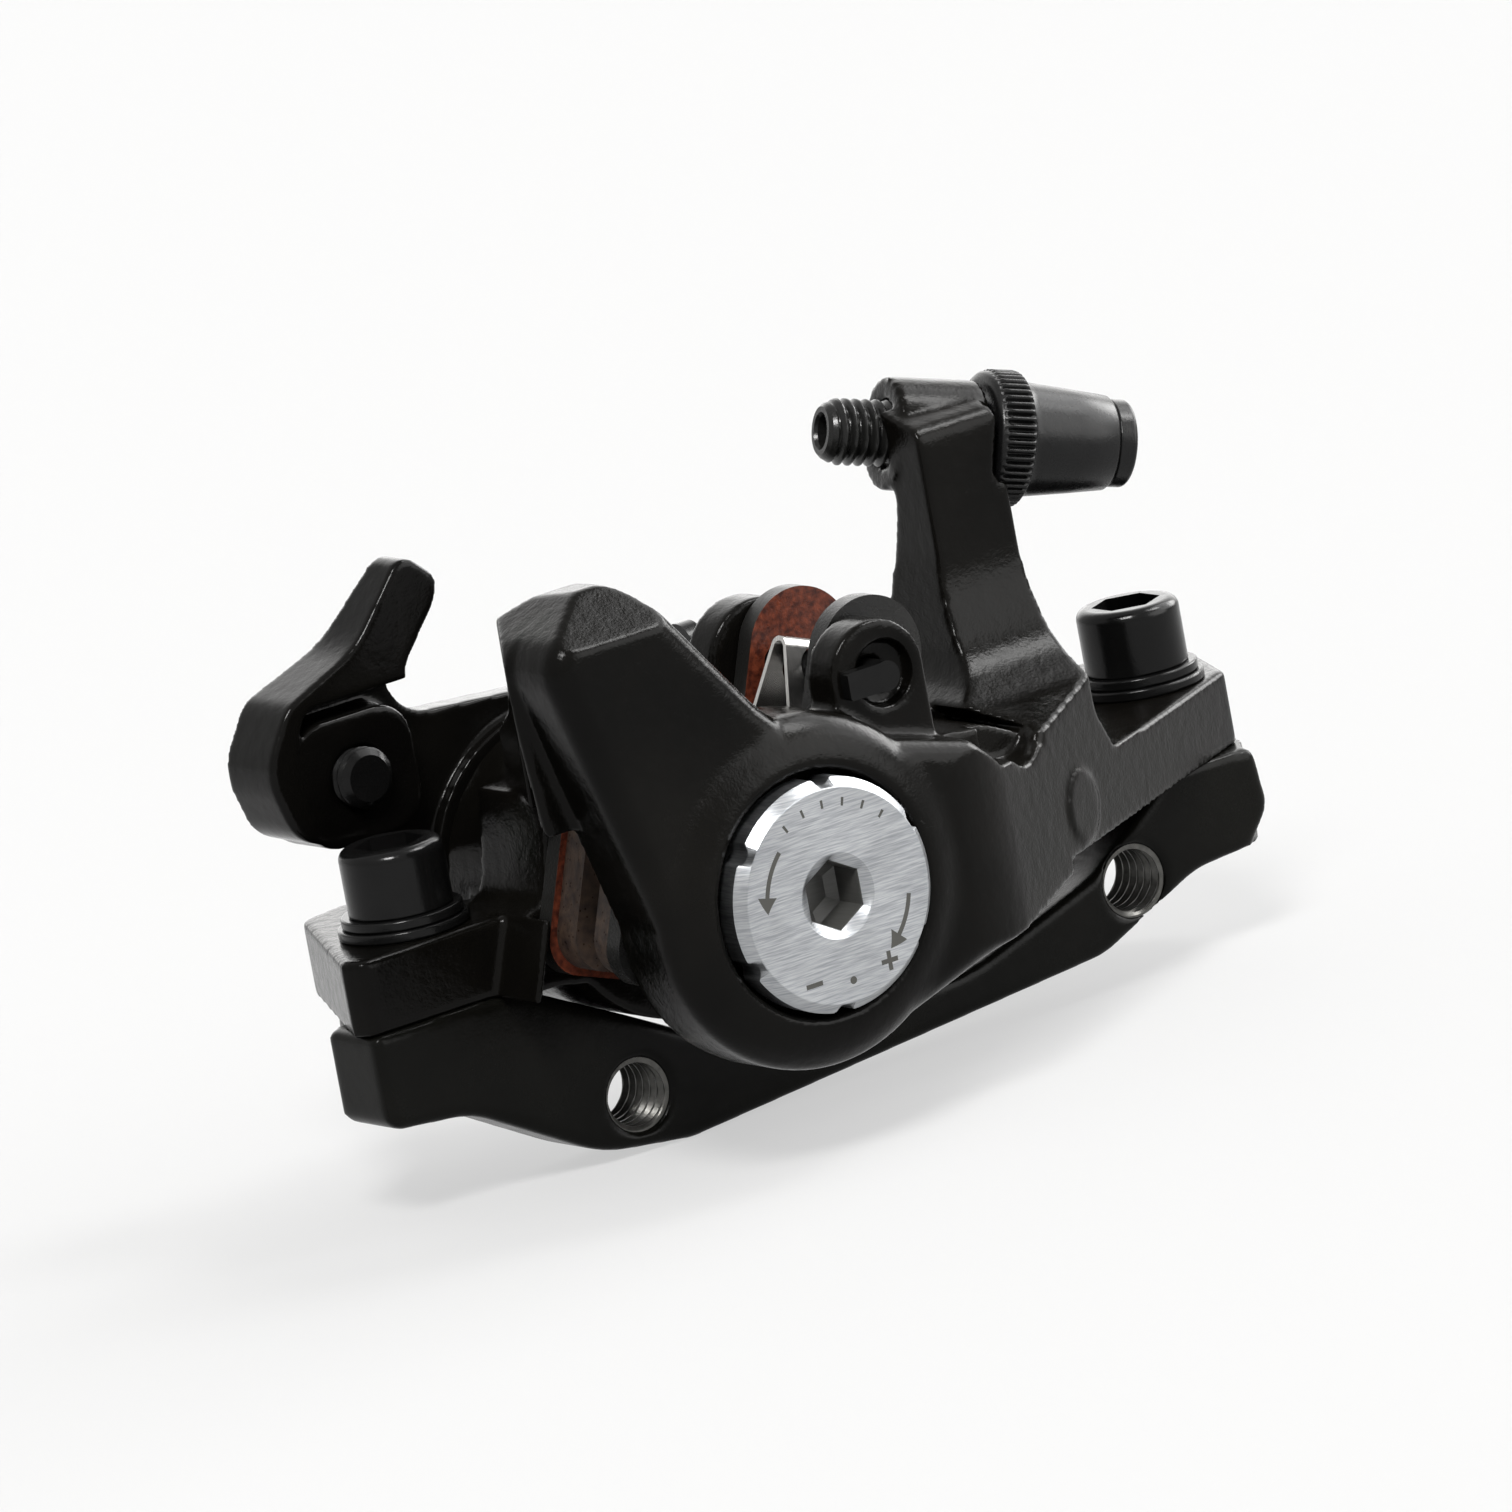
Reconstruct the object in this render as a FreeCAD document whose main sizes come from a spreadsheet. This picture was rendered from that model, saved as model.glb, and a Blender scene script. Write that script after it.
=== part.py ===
import FreeCAD, Part
import math
import os
import re

import Sketcher

# Mechanical disc brake caliper with its adapter bracket, all sizes in millimetres.
# Frame: the origin lies midway between the two threaded mounting holes, on the bracket's mating face.
# X runs along the row of the two fixing bolts, Y points away from the rotor side, Z up along those bolts.

V = FreeCAD.Vector
doc = FreeCAD.newDocument("disc_brake_caliper")

# Driving sizes
SIZES = {
    # Mounting holes of the bracket: 51 mm apart, threaded M6
    "mount_x": 25.43,
    "mount_rise": 1.9,
    "mount_bore": 3.0,
    "mount_mouth": 3.3,
    "web_front": -7.0,
    # Posts and fixing bolts, 74 mm apart
    "post_left": -40.4,
    "post_right": 33.6,
    "post_y": -0.5,
    "post_top": 9.6,
    "left_post": 6.6,
    "right_post": 7.4,
    "post_bore": 3.0,
    "post_depth": 8.6,
    "ear_thick": 6.2,
    "ear_slot": 3.3,
    "ear_slot_travel": 1.2,
    "washer_thick": 0.85,
    "upper_washer": 5.0,
    "lower_washer": 5.4,
    "washer_bore": 3.2,
    "bolt_head": 4.3,
    "bolt_head_tall": 5.5,
    "bolt_edge": 0.9,
    "bolt_shank": 2.95,
    "bolt_reach": 8.2,
    "socket_five": 5.0,
    # Rotor side: axle of the wheel, rotor and the slot it runs in
    "axle_x": -43.7,
    "axle_z": -50.2,
    "arch_wide": 88.0,
    "arch_near": 82.5,
    "slot_front": -22.4,
    "slot_back": -12.8,
    "pocket_back": -9.8,
    "tower_low": "axle_z + arch_wide - 12.8",
    "rotor_front": -18.9,
    "rotor_back": -13.1,
    # Pads
    "pad_x": -19.8,
    "pad_z": 15.6,
    "pad_tilt": 20.0,
    "pad_half": 13.0,
    "pad_tall": 9.0,
    "pad_corner": 3.0,
    "tab_wide": 9.8,
    "tab_left": "pad_half - tab_wide",
    "tab_top": 24.0,
    "tab_round": "tab_wide / 2 - 0.05",
    "plate_thick": 1.8,
    "friction_thick": 2.8,
    "friction_inset": 0.6,
    "fixed_back": -21.9,
    "moving_back": -10.1,
    "pin_t": "pad_half - 6.9",
    "pin_r": 17.7,
    "pin_x": "pad_x + pin_t * cos(pad_tilt) + pin_r * sin(pad_tilt)",
    "pin_z": "pad_z - pin_t * sin(pad_tilt) + pin_r * cos(pad_tilt)",
    "pin_radius": 1.25,
    "pin_play": 0.15,
    "pin_hook_thick": 1.1,
    "pin_hook_long": 3.7,
    "pin_eye": 2.3,
    "pin_eye_hole": 0.9,
    "pin_eye_half": 0.7,
    "pad_play": 0.55,
    # Lugs that carry the pin: front and rear
    "front_lug_front": -26.2,
    "front_lug_round": 4.5,
    "rear_lug_back": -6.0,
    "rear_lug_round": 5.1,
    "front_lug_low": 19.0,
    "rear_lug_low": 14.0,
    "pin_recess_radius": 2.7,
    "pin_recess_deep": 1.3,
    # Pad spring, a folded strip over the pin
    "strip_thick": 0.4,
    "strip_front": -19.4,
    "strip_fold": -16.0,
    "strip_back": -12.5,
    "strip_low": 11.5,
    "strip_high": 22.4,
    "strip_wide": 6.0,
    "strip_bend": 1.1,
    # Head plate and adjuster
    "head_front": -30.0,
    "head_round": 14.4,
    "forged_round": 2.0,
    "scoop_x": 5.0,
    "scoop_z": 21.9,
    "scoop_radius": 2.8,
    "mark_x": 12.5,
    "mark_y": -20.8,
    "mark_z": 13.1,
    "mark_radius": 2.85,
    "mark_raised": 0.3,
    "disc_front": -32.8,
    "disc_radius": 9.5,
    "disc_thick": 3.3,
    "disc_recess": 9.95,
    "recess_depth": 1.3,
    "plug_radius": 7.5,
    "thread_play": 0.05,
    "seal_outer": 8.6,
    "seal_thick": 0.8,
    "notch_radius": 0.95,
    # Rear housing and its mechanism
    "housing_round": 12.0,
    "housing_end": 6.0,
    "chamber": 8.1,
    "chamber_end": 3.0,
    "ramp_radius": 7.95,
    "foot_radius": 6.5,
    "foot_back": -6.4,
    "ball_centre": -5.2,
    "ball_radius": 1.5,
    "ball_ring": 5.9,
    "cage_thick": 1.0,
    "ramp_front": -4.0,
    "ramp_back": 1.0,
    "shaft_radius": 4.0,
    "shaft_end": 11.3,
    "shaft_flats": 6.4,
    "bush_outer": 5.2,
    "seal_bore": 6.6,
    "seal_depth": 0.9,
    "running": 0.05,
    "seating": 0.02,
    # Cable stop boss and barrel adjuster, along one slanted axis
    "barrel_x": 5.9,
    "barrel_y": -2.5,
    "barrel_z": 45.1,
    "stop_radius": 4.65,
    "stop_start": 5.4,
    "stop_long": 7.8,
    "screw_radius": 2.75,
    "cable_bore": 1.6,
    "spot_face": 6.1,
    "spot_long": 15.0,
    "knob_start": 13.7,
    "screw_end": 18.7,
    "knurl_wide": 3.2,
    "knurl_radius": 5.62,
    "cone_big": 4.3,
    "cone_small": 3.8,
    "knob_end": 24.9,
    "ferrule_lip": 3.6,
    "ferrule_end": 26.5,
    "ferrule_body": 2.6,
    "housing_bore": 2.5,
    "housing_deep": 4.0,
    # Lever
    "lever_front": 7.5,
    "hub_front": 6.5,
    "lever_back": 10.5,
    "hub_back": 11.5,
    "hub_round": 12.5,
    "spring_recess": 9.4,
    "recess_inner": 6.9,
    "recess_outer": 9.8,
    "coil_radius": 8.3,
    "coil_wire": 0.5,
    "coil_pitch": 1.15,
    "coil_tall": 1.7,
    "boss_front": 4.5,
    "horn_front": 4.2,
    "horn_back": 11.0,
    "anchor_x": -38.9,
    "anchor_z": 27.6,
    "anchor_radius": 2.5,
    "anchor_front": 3.0,
    "clamp_thick": 1.2,
    "clamp_round": 5.0,
    "anchor_head": 4.4,
    "anchor_head_tall": 3.4,
    "lever_screw": 2.45,
    "lever_screw_head": 4.2,
    "lever_screw_tall": 3.4,
    "lever_washer_round": 6.0,
    "lever_washer_thick": 1.0,
}

# Outlines: corner name, two coordinates and the rounding radius, in order round the outline
OUTLINES = {
    # Bracket web from the front: x, z
    "web": [
        ("heel_top", -49.1, 9.6, 0.8),
        ("heel_low", -49.1, 1.7, 1.6),
        ("left_sole", -41.0, 0.9, 9.0),
        ("left_belly", -29.5, -5.7, 12.0),
        ("belly", -21.0, -6.8, 8.0),
        ("right_belly", 21.5, -3.3, 8.0),
        ("right_sole", 31.8, 1.1, 9.0),
        ("toe_sole", 37.5, 1.5, 3.0),
        ("toe_low", 39.9, 4.4, 2.5),
        ("toe_top", 39.3, 9.6, 1.0),
        ("right_step", 30.6, 9.6, 2.0),
        ("right_waist", 22.0, 3.4, 9.0),
        ("waist", 8.0, -1.0, 20.0),
        ("left_waist", -13.5, -1.4, 9.0),
        ("left_rise", -25.6, 5.0, 12.0),
        ("left_step", -34.6, 9.6, 3.0),
    ],
    # Head plate from the front: x, z
    "head": [
        ("left_top", -41.0, 40.2, 3.5),
        ("peak", -31.8, 45.3, 4.0),
        ("dip", -19.2, 28.3, 16.0),
        ("shoulder", -2.2, 23.4, 1.8),
        ("scoop_left", 1.0, 20.2, 1.5),
        ("scoop_right", 7.0, 20.0, 3.0),
        ("slope", 18.0, 15.9, 4.0),
        ("ear_top", 24.0, 15.8, None),
        ("ear_low", 24.0, 9.7, None),
        ("low_right", 14.0, 9.3, 12.0),
        ("low_left", -4.0, 5.9, 25.0),
        ("under_right", -12.6, 3.2, None),
        ("under_mid", -20.0, 5.0, None),
        ("under_left", -33.3, 12.9, None),
    ],
    # Bridge block that carries the tower, from the front: x, z
    "tower": [
        ("left_top", -41.0, 40.2, 3.5),
        ("peak", -31.8, 45.3, 4.0),
        ("dip", -19.6, 28.7, 14.0),
        ("right", -12.0, 26.0, None),
        ("low_right", -12.0, "tower_low", None),
        ("low_left", -39.6, "tower_low", None),
    ],
    # Tower seen from the left: y, z of the wedge that is cut from its top
    "tower_slope": [
        ("front_top", -34.0, 44.9, None),
        ("front", -20.0, 43.5, 3.0),
        ("middle", -15.0, 40.3, 4.0),
        ("rear", -10.5, 33.0, 6.0),
        ("low", 0.0, 29.0, None),
        ("far", 12.0, 24.0, None),
        ("far_top", 12.0, 60.0, None),
        ("near_top", -34.0, 60.0, None),
    ],
    # Tower seen from above: x, y of the wedge that is cut from its left side
    "tower_side": [
        ("front", -41.2, -24.0, None),
        ("middle", -34.6, -13.5, 3.0),
        ("rear", -28.0, 0.0, None),
        ("far", -24.0, 12.0, None),
        ("far_left", -60.0, 12.0, None),
        ("near_left", -60.0, -24.0, None),
    ],
    # Rear wall behind the rotor: x, z
    "wall": [
        ("ear_low", -37.0, 9.6, None),
        ("ear_top", -34.7, 15.8, None),
        ("flare", -32.4, 16.6, 2.5),
        ("left", -31.0, 25.0, 10.0),
        ("left_top", -31.0, 33.5, None),
        ("top", -27.0, 33.5, 4.0),
        ("dip", -17.5, 26.5, 5.0),
        ("bridge", 2.0, 22.6, 6.0),
        ("slope", 18.0, 15.8, 4.0),
        ("right_top", 25.0, 15.8, None),
        ("right_low", 25.0, 9.6, None),
        ("low", 10.0, 9.6, 16.0),
        ("under_right", -8.0, 5.4, None),
        ("under", -20.0, 5.4, None),
        ("under_left", -29.5, 8.9, 5.0),
        ("foot", -33.0, 9.6, None),
    ],
    # Bridge over the rotor on the right: x, z
    "bridge": [
        ("left_top", -3.4, 23.4, 1.5),
        ("top", 4.0, 22.4, 8.0),
        ("slope", 17.5, 15.9, 5.0),
        ("right_top", 25.0, 15.8, None),
        ("right_low", 25.0, 9.6, None),
        ("low", 8.0, 9.6, None),
        ("left_low", -9.0, 9.6, None),
    ],
    # Left ear from above: x, y
    "left_ear": [
        ("front_left", -48.7, -6.8, 0.8),
        ("front_right", -31.0, -6.8, None),
        ("inner", -31.0, -1.0, 3.0),
        ("back_right", -37.2, 13.3, 1.2),
        ("back_left", -42.2, 12.2, 1.2),
        ("left", -49.7, -5.0, 0.8),
    ],
    # Right ear from above: x, y
    "right_ear": [
        ("front_left", 8.0, -23.7, None),
        ("front_right", 39.7, -4.0, 0.8),
        ("right", 42.4, 3.4, 2.0),
        ("back_right", 37.6, 13.2, 1.6),
        ("back_left", 31.4, 12.6, 3.0),
        ("waist", 21.0, 0.2, 8.0),
        ("inner", 6.0, 0.0, None),
    ],
    # Wedge that slants the front of the right half, from above: x, y
    "slant": [
        ("start", -14.0, -30.05, None),
        ("bend", -2.4, -30.05, 14.0),
        ("end", 45.0, -0.7, None),
        ("outer", 45.0, -40.0, None),
        ("left", -14.0, -40.0, None),
    ],
    # Cable stop arm from the front: x, z
    "arm": [
        ("foot_left", 2.0, 14.0, None),
        ("shoulder", 2.0, 21.2, 0.8),
        ("hollow", 8.2, 24.8, 4.0),
        ("left", 9.5, 34.0, 12.0),
        ("boss_left", 9.5, 47.0, None),
        ("boss_right", 17.4, 47.0, None),
        ("right", 17.4, 19.6, 3.0),
        ("foot_right", 20.6, 14.0, None),
    ],
    # Cable stop arm from the left: y, z
    "arm_side": [
        ("foot_front", -23.3, 12.0, None),
        ("foot_back", -3.2, 12.0, None),
        ("back", -3.2, 30.0, 10.0),
        ("neck_back", -6.0, 38.0, 6.0),
        ("top_back", -6.0, 46.0, None),
        ("top_front", -11.0, 44.5, 1.5),
        ("front", -11.0, 31.0, 12.0),
        ("sweep", -13.5, 25.5, 8.0),
        ("shoulder", -18.0, 22.5, 8.0),
        ("foot_top", -23.3, 20.8, None),
    ],
    # Pad seen from the front in its own tilted axes: along the rotor, away from the axle
    "pad": [
        ("low_left", "-pad_half", "-pad_tall", "pad_corner"),
        ("low_right", "pad_half", "-pad_tall", "pad_corner"),
        ("tab_right", "pad_half", "tab_top", "tab_round"),
        ("tab_left", "tab_left", "tab_top", "tab_round"),
        ("step", "tab_left", "pad_tall", 2.0),
        ("top_left", "-pad_half", "pad_tall", "pad_corner"),
    ],
    "friction": [
        ("low_left", "friction_inset - pad_half", "friction_inset - pad_tall", "pad_corner"),
        ("low_right", "pad_half - friction_inset", "friction_inset - pad_tall", "pad_corner"),
        ("top_right", "pad_half - friction_inset", "pad_tall - friction_inset", "pad_corner"),
        ("top_left", "friction_inset - pad_half", "pad_tall - friction_inset", "pad_corner"),
    ],
    # Lever plate from the front: x, z
    "lever": [
        ("hub_top", -19.8, 29.6, None),
        ("top", -31.6, 30.6, 4.0),
        ("horn_right", -33.6, 34.4, 3.0),
        ("horn_neck", -28.9, 39.8, 3.8),
        ("horn_tip_right", -28.4, 41.6, 1.4),
        ("horn_tip_left", -31.4, 44.4, 1.6),
        ("horn_left", -37.2, 37.9, 9.0),
        ("rim_top", -44.6, 34.8, 3.5),
        ("rim_left", -47.7, 30.0, 5.0),
        ("rim_low", -45.9, 24.2, 3.5),
        ("low_left", -41.0, 22.0, 4.0),
        ("low", -33.0, 21.6, 10.0),
        ("hub_low", -26.0, 8.0, None),
        ("hub_back", -16.0, 8.0, None),
    ],
    # Hollow beside the rim and the horn, open to the hub: x, z
    "lever_hollow": [
        ("top", -43.0, 34.2, 2.0),
        ("left", -44.9, 30.0, 2.5),
        ("low", -44.0, 25.4, 4.0),
        ("under", -42.6, 18.0, None),
        ("far_low", -42.8, -2.0, None),
        ("far_right", 0.0, -2.0, None),
        ("far_top", 0.0, 34.4, None),
    ],
    # Horn seen from the side: y, z of the wedge that thins its tip from behind
    "horn_back_slope": [
        ("low", 11.3, 34.1, None),
        ("high", 7.2, 45.7, None),
        ("far_high", 14.0, 46.0, None),
        ("far_low", 14.0, 34.1, None),
    ],
    # Rounded block in which the cable anchor sits, from the front: x, z, measured from the anchor
    "anchor_boss": [
        ("low_left", -5.65, -5.3, 3.1),
        ("low_right", 5.65, -5.3, 3.1),
        ("top_right", 5.65, 5.2, 3.1),
        ("top_left", -5.65, 5.2, 3.1),
    ],
}

sheet = doc.addObject("Spreadsheet::Sheet", "Sizes")
cell_count = 0


def enter(alias, size):
    """Write one named size into the sheet, a number or a formula of sizes above it."""
    global cell_count
    cell_count += 1
    cell = "B%d" % cell_count
    sheet.set("A%d" % cell_count, alias)
    sheet.set(cell, "=" + size if isinstance(size, str) else "%g" % size)
    sheet.setAlias(cell, alias)


def named(expression):
    """Expression text with every size name read from the sheet."""
    return re.sub(r"\b([a-z]+(?:_[a-z]+)*)\b(?!\()", r"Sizes.\1", str(expression))


def value(expression):
    """Number that an expression gives with the sheet's present sizes."""
    return float(sheet.evalExpression(named(expression)))


for alias, size in SIZES.items():
    enter(alias, size)
for outline_name, corners in OUTLINES.items():
    for corner_name, across, up, rounding in corners:
        for suffix, size in (("across", across), ("up", up), ("round", rounding)):
            if isinstance(size, (int, float)):
                enter("%s_%s_%s" % (outline_name, corner_name, suffix), size)
doc.recompute()


def bind(target, prop, expression):
    """Bind one property of an object to an expression of sheet sizes."""
    target.setExpression(prop, named(expression))


def corner_list(outline_name):
    """Corners of a named outline as expressions."""
    result = []
    for corner_name, across, up, rounding in OUTLINES[outline_name]:
        stem = "%s_%s_" % (outline_name, corner_name)
        x = stem + "across" if isinstance(across, (int, float)) else across
        y = stem + "up" if isinstance(up, (int, float)) else up
        r = stem + "round" if isinstance(rounding, (int, float)) else rounding
        result.append((x, y, r))
    return result


def draw_outline(sketch, corners):
    """Closed outline with rounded corners, each corner placed by two sheet-driven distances."""
    count = len(corners)
    points = [V(value(x), value(y), 0) for x, y, r in corners]
    radii = [value(r) if r else 0.0 for x, y, r in corners]
    starts = []
    ends = []
    centres = []
    for i in range(count):
        back = (points[i - 1] - points[i]).normalize()
        ahead = (points[(i + 1) % count] - points[i]).normalize()
        half = back.getAngle(ahead) / 2
        reach = radii[i] / math.tan(half) if radii[i] else 0.0
        starts.append(points[i] + back * reach)
        ends.append(points[i] + ahead * reach)
        if radii[i]:
            centres.append(points[i] + (back + ahead).normalize() * (radii[i] / math.sin(half)))
        else:
            centres.append(points[i])
    lines = []
    for i in range(count):
        line = Part.LineSegment(ends[i], starts[(i + 1) % count])
        lines.append(sketch.addGeometry(line, False))
    for i in range(count):
        before = lines[i - 1]
        after = lines[i]
        x, y, r = corners[i]
        if radii[i]:
            first = starts[i] - centres[i]
            last = ends[i] - centres[i]
            turns_left = first.cross(last).z > 0
            angles = [math.atan2(first.y, first.x), math.atan2(last.y, last.x)]
            if not turns_left:
                angles.reverse()
            circle = Part.Circle(centres[i], V(0, 0, 1), radii[i])
            arc = sketch.addGeometry(Part.ArcOfCircle(circle, *angles), False)
            tip = sketch.addGeometry(Part.Point(points[i]), True)
            entry, leaving = (1, 2) if turns_left else (2, 1)
            sketch.addConstraint(Sketcher.Constraint("Tangent", before, 2, arc, entry))
            sketch.addConstraint(Sketcher.Constraint("Tangent", after, 1, arc, leaving))
            sketch.addConstraint(Sketcher.Constraint("PointOnObject", tip, 1, before))
            sketch.addConstraint(Sketcher.Constraint("PointOnObject", tip, 1, after))
            index = sketch.addConstraint(Sketcher.Constraint("Radius", arc, radii[i]))
            sketch.setExpression("Constraints[%d]" % index, named(r))
            held = (tip, 1)
        else:
            sketch.addConstraint(Sketcher.Constraint("Coincident", before, 2, after, 1))
            held = (after, 1)
        index = sketch.addConstraint(Sketcher.Constraint("DistanceX", -1, 1, *held, points[i].x))
        sketch.setExpression("Constraints[%d]" % index, named(x))
        index = sketch.addConstraint(Sketcher.Constraint("DistanceY", -1, 1, *held, points[i].y))
        sketch.setExpression("Constraints[%d]" % index, named(y))


def draw_circle(sketch, across, up, radius):
    """Circle with its centre and radius driven by the sheet."""
    centre = V(value(across), value(up), 0)
    circle = sketch.addGeometry(Part.Circle(centre, V(0, 0, 1), value(radius)), False)
    index = sketch.addConstraint(Sketcher.Constraint("Radius", circle, value(radius)))
    sketch.setExpression("Constraints[%d]" % index, named(radius))
    index = sketch.addConstraint(Sketcher.Constraint("DistanceX", -1, 1, circle, 3, centre.x))
    sketch.setExpression("Constraints[%d]" % index, named(across))
    index = sketch.addConstraint(Sketcher.Constraint("DistanceY", -1, 1, circle, 3, centre.y))
    sketch.setExpression("Constraints[%d]" % index, named(up))


def hexagon_corners(flats):
    """Corners of a hexagon round the sketch's origin, measured across its flats."""
    side = "(%s) / 2" % flats
    low = "(%s) * 0.288675" % flats
    high = "(%s) * 0.57735" % flats
    right = [(side, "-" + low), (side, low), ("0", high)]
    left = [("-" + side, low), ("-" + side, "-" + low), ("0", "-" + high)]
    return [(x, y, None) for x, y in right + left]


def draw_hexagon(sketch, flats):
    draw_outline(sketch, hexagon_corners(flats))


def draw_flats(sketch, flats, outer):
    """Hexagon inside a larger circle, so that only the ring between them is cut."""
    draw_hexagon(sketch, flats)
    draw_circle(sketch, "0", "0", outer)


def draw_around(sketch, corners):
    """Large block with a drawn outline inside, so that all round the outline is cut."""
    draw_outline(sketch, corners)
    draw_outline(sketch, block_corners("-60", "60", "0", "60"))


def block_corners(left, right, low, high, rounding=None):
    """Corners of an upright rectangle."""
    return [(left, low, rounding), (right, low, rounding), (right, high, rounding), (left, high, rounding)]


def new_body(label):
    """Empty body of one sub-part."""
    body = doc.addObject("PartDesign::Body", label)
    body.Label = label
    return body


def plane_sketch(body, name, plane, offset, centre=None, turn="0"):
    """Sketch on one of the body's origin planes, moved along the normal and to a centre, and turned there."""
    sketch = body.newObject("Sketcher::SketchObject", name)
    base = [f for f in body.Origin.OriginFeatures if f.Role == plane][0]
    sketch.AttachmentSupport = [(base, "")]
    sketch.MapMode = "FlatFace"
    if centre:
        sketch.AttachmentOffset = FreeCAD.Placement(V(0, 0, 0), FreeCAD.Rotation(V(0, 0, 1), value(turn)))
        bind(sketch, "AttachmentOffset.Base.x", centre[0])
        bind(sketch, "AttachmentOffset.Base.y", centre[1])
    bind(sketch, "AttachmentOffset.Base.z", offset)
    return sketch


# Views: the plane, the sketch's offset along its normal and the depth of material from there
def front_view(near, far):
    """Layer between two Y values, drawn as x and z."""
    return "XZ_Plane", "-(%s)" % far, "%s - (%s)" % (far, near)


def plan_view(low, high):
    """Layer between two Z values, drawn as x and y."""
    return "XY_Plane", low, "%s - (%s)" % (high, low)


def side_view(left, right):
    """Layer between two X values, drawn as y and z."""
    return "YZ_Plane", left, "%s - (%s)" % (right, left)


def layer(body, kind, name, view, draw, *drawing, centre=None, turn="0"):
    """Pad or pocket of one drawn shape through the layer that a view gives."""
    plane, offset, depth = view
    sketch = plane_sketch(body, name + "_sketch", plane, offset, centre, turn)
    draw(sketch, *drawing)
    feature = body.newObject("PartDesign::" + kind, name)
    feature.Profile = sketch
    bind(feature, "Length", depth)
    if kind == "Pocket":
        feature.Reversed = True
    doc.recompute()
    return feature


def pad(body, name, view, draw, *drawing, **where):
    """Pad that adds one drawn shape."""
    return layer(body, "Pad", name, view, draw, *drawing, **where)


def pocket(body, name, view, draw, *drawing, **where):
    """Pocket that has to take material away."""
    before = body.Shape.Volume
    feature = layer(body, "Pocket", name, view, draw, *drawing, **where)
    if body.Shape.Volume > before - 1e-3:
        raise ValueError("pocket %s cuts nothing" % name)
    return feature


def turned(label, corners, name="turned"):
    """Body turned round its own Z axis from a half profile of radius and height."""
    body = new_body(label)
    add_turned(body, "Revolution", name, corners)
    return body


def add_turned(body, kind, name, corners):
    """Revolution or groove round the body's own Z axis."""
    sketch = plane_sketch(body, name + "_sketch", "XZ_Plane", "0")
    draw_outline(sketch, corners)
    feature = body.newObject("PartDesign::" + kind, name)
    feature.Profile = sketch
    feature.ReferenceAxis = (sketch, ["V_Axis"])
    feature.Angle = 360
    doc.recompute()
    return feature


def place(body, x, y, z, rotation=None):
    """Put a sub-part where it sits in the object."""
    if rotation:
        body.Placement = FreeCAD.Placement(V(0, 0, 0), rotation)
    bind(body, "Placement.Base.x", x)
    bind(body, "Placement.Base.y", y)
    bind(body, "Placement.Base.z", z)
    doc.recompute()


def edges_where(body, test):
    """Names of the body's edges that a test of their middle point and direction picks."""
    names = []
    for number, edge in enumerate(body.Shape.Edges, 1):
        middle = edge.valueAt((edge.FirstParameter + edge.LastParameter) / 2)
        if test(edge, middle):
            names.append("Edge%d" % number)
    return names


def soften(body, name, radius, test, kind="Fillet"):
    """Fillet or chamfer on the edges that a test picks."""
    names = edges_where(body, test)
    if not names:
        raise ValueError("no edge for %s" % name)
    base = body.Tip
    feature = body.newObject("PartDesign::" + kind, name)
    feature.Base = (base, names)
    bind(feature, "Radius" if kind == "Fillet" else "Size", radius)
    doc.recompute()
    if feature.Shape.isNull() or not feature.Shape.isValid() or "Invalid" in feature.State:
        raise ValueError("%s failed" % name)
    body.Tip = feature
    return feature


def on_plane(edge, axis, level):
    """True for an edge that lies flat on a plane across one axis."""
    step = (edge.LastParameter - edge.FirstParameter) / 3
    points = [edge.valueAt(edge.FirstParameter + step * k) for k in range(4)]
    return all(abs(getattr(point, axis) - level) < 1e-4 for point in points)


def round_axis(body, name, feature, count):
    """Copies of one cut, evenly spaced round the body's own Z axis."""
    pattern = body.newObject("PartDesign::PolarPattern", name)
    pattern.Originals = [feature]
    pattern.Axis = ([f for f in body.Origin.OriginFeatures if f.Role == "Z_Axis"][0], [""])
    pattern.Angle = 360
    pattern.Occurrences = count
    body.Tip = pattern
    doc.recompute()


TO_FRONT = FreeCAD.Rotation(V(1, 0, 0), 90)
TO_BACK = FreeCAD.Rotation(V(1, 0, 0), -90)
BARREL_LINE = V(0.933, -0.237, -0.272).normalize()
ALONG_BARREL = FreeCAD.Rotation(V(0, 0, 1), BARREL_LINE)
SLANT_LINE = V(0.526, -0.85, 0).normalize()


def ring_profile(inner, outer, low, high, edge=None):
    """Half profile of a plain ring."""
    return [(inner, low, None), (outer, low, edge), (outer, high, edge), (inner, high, None)]


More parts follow.
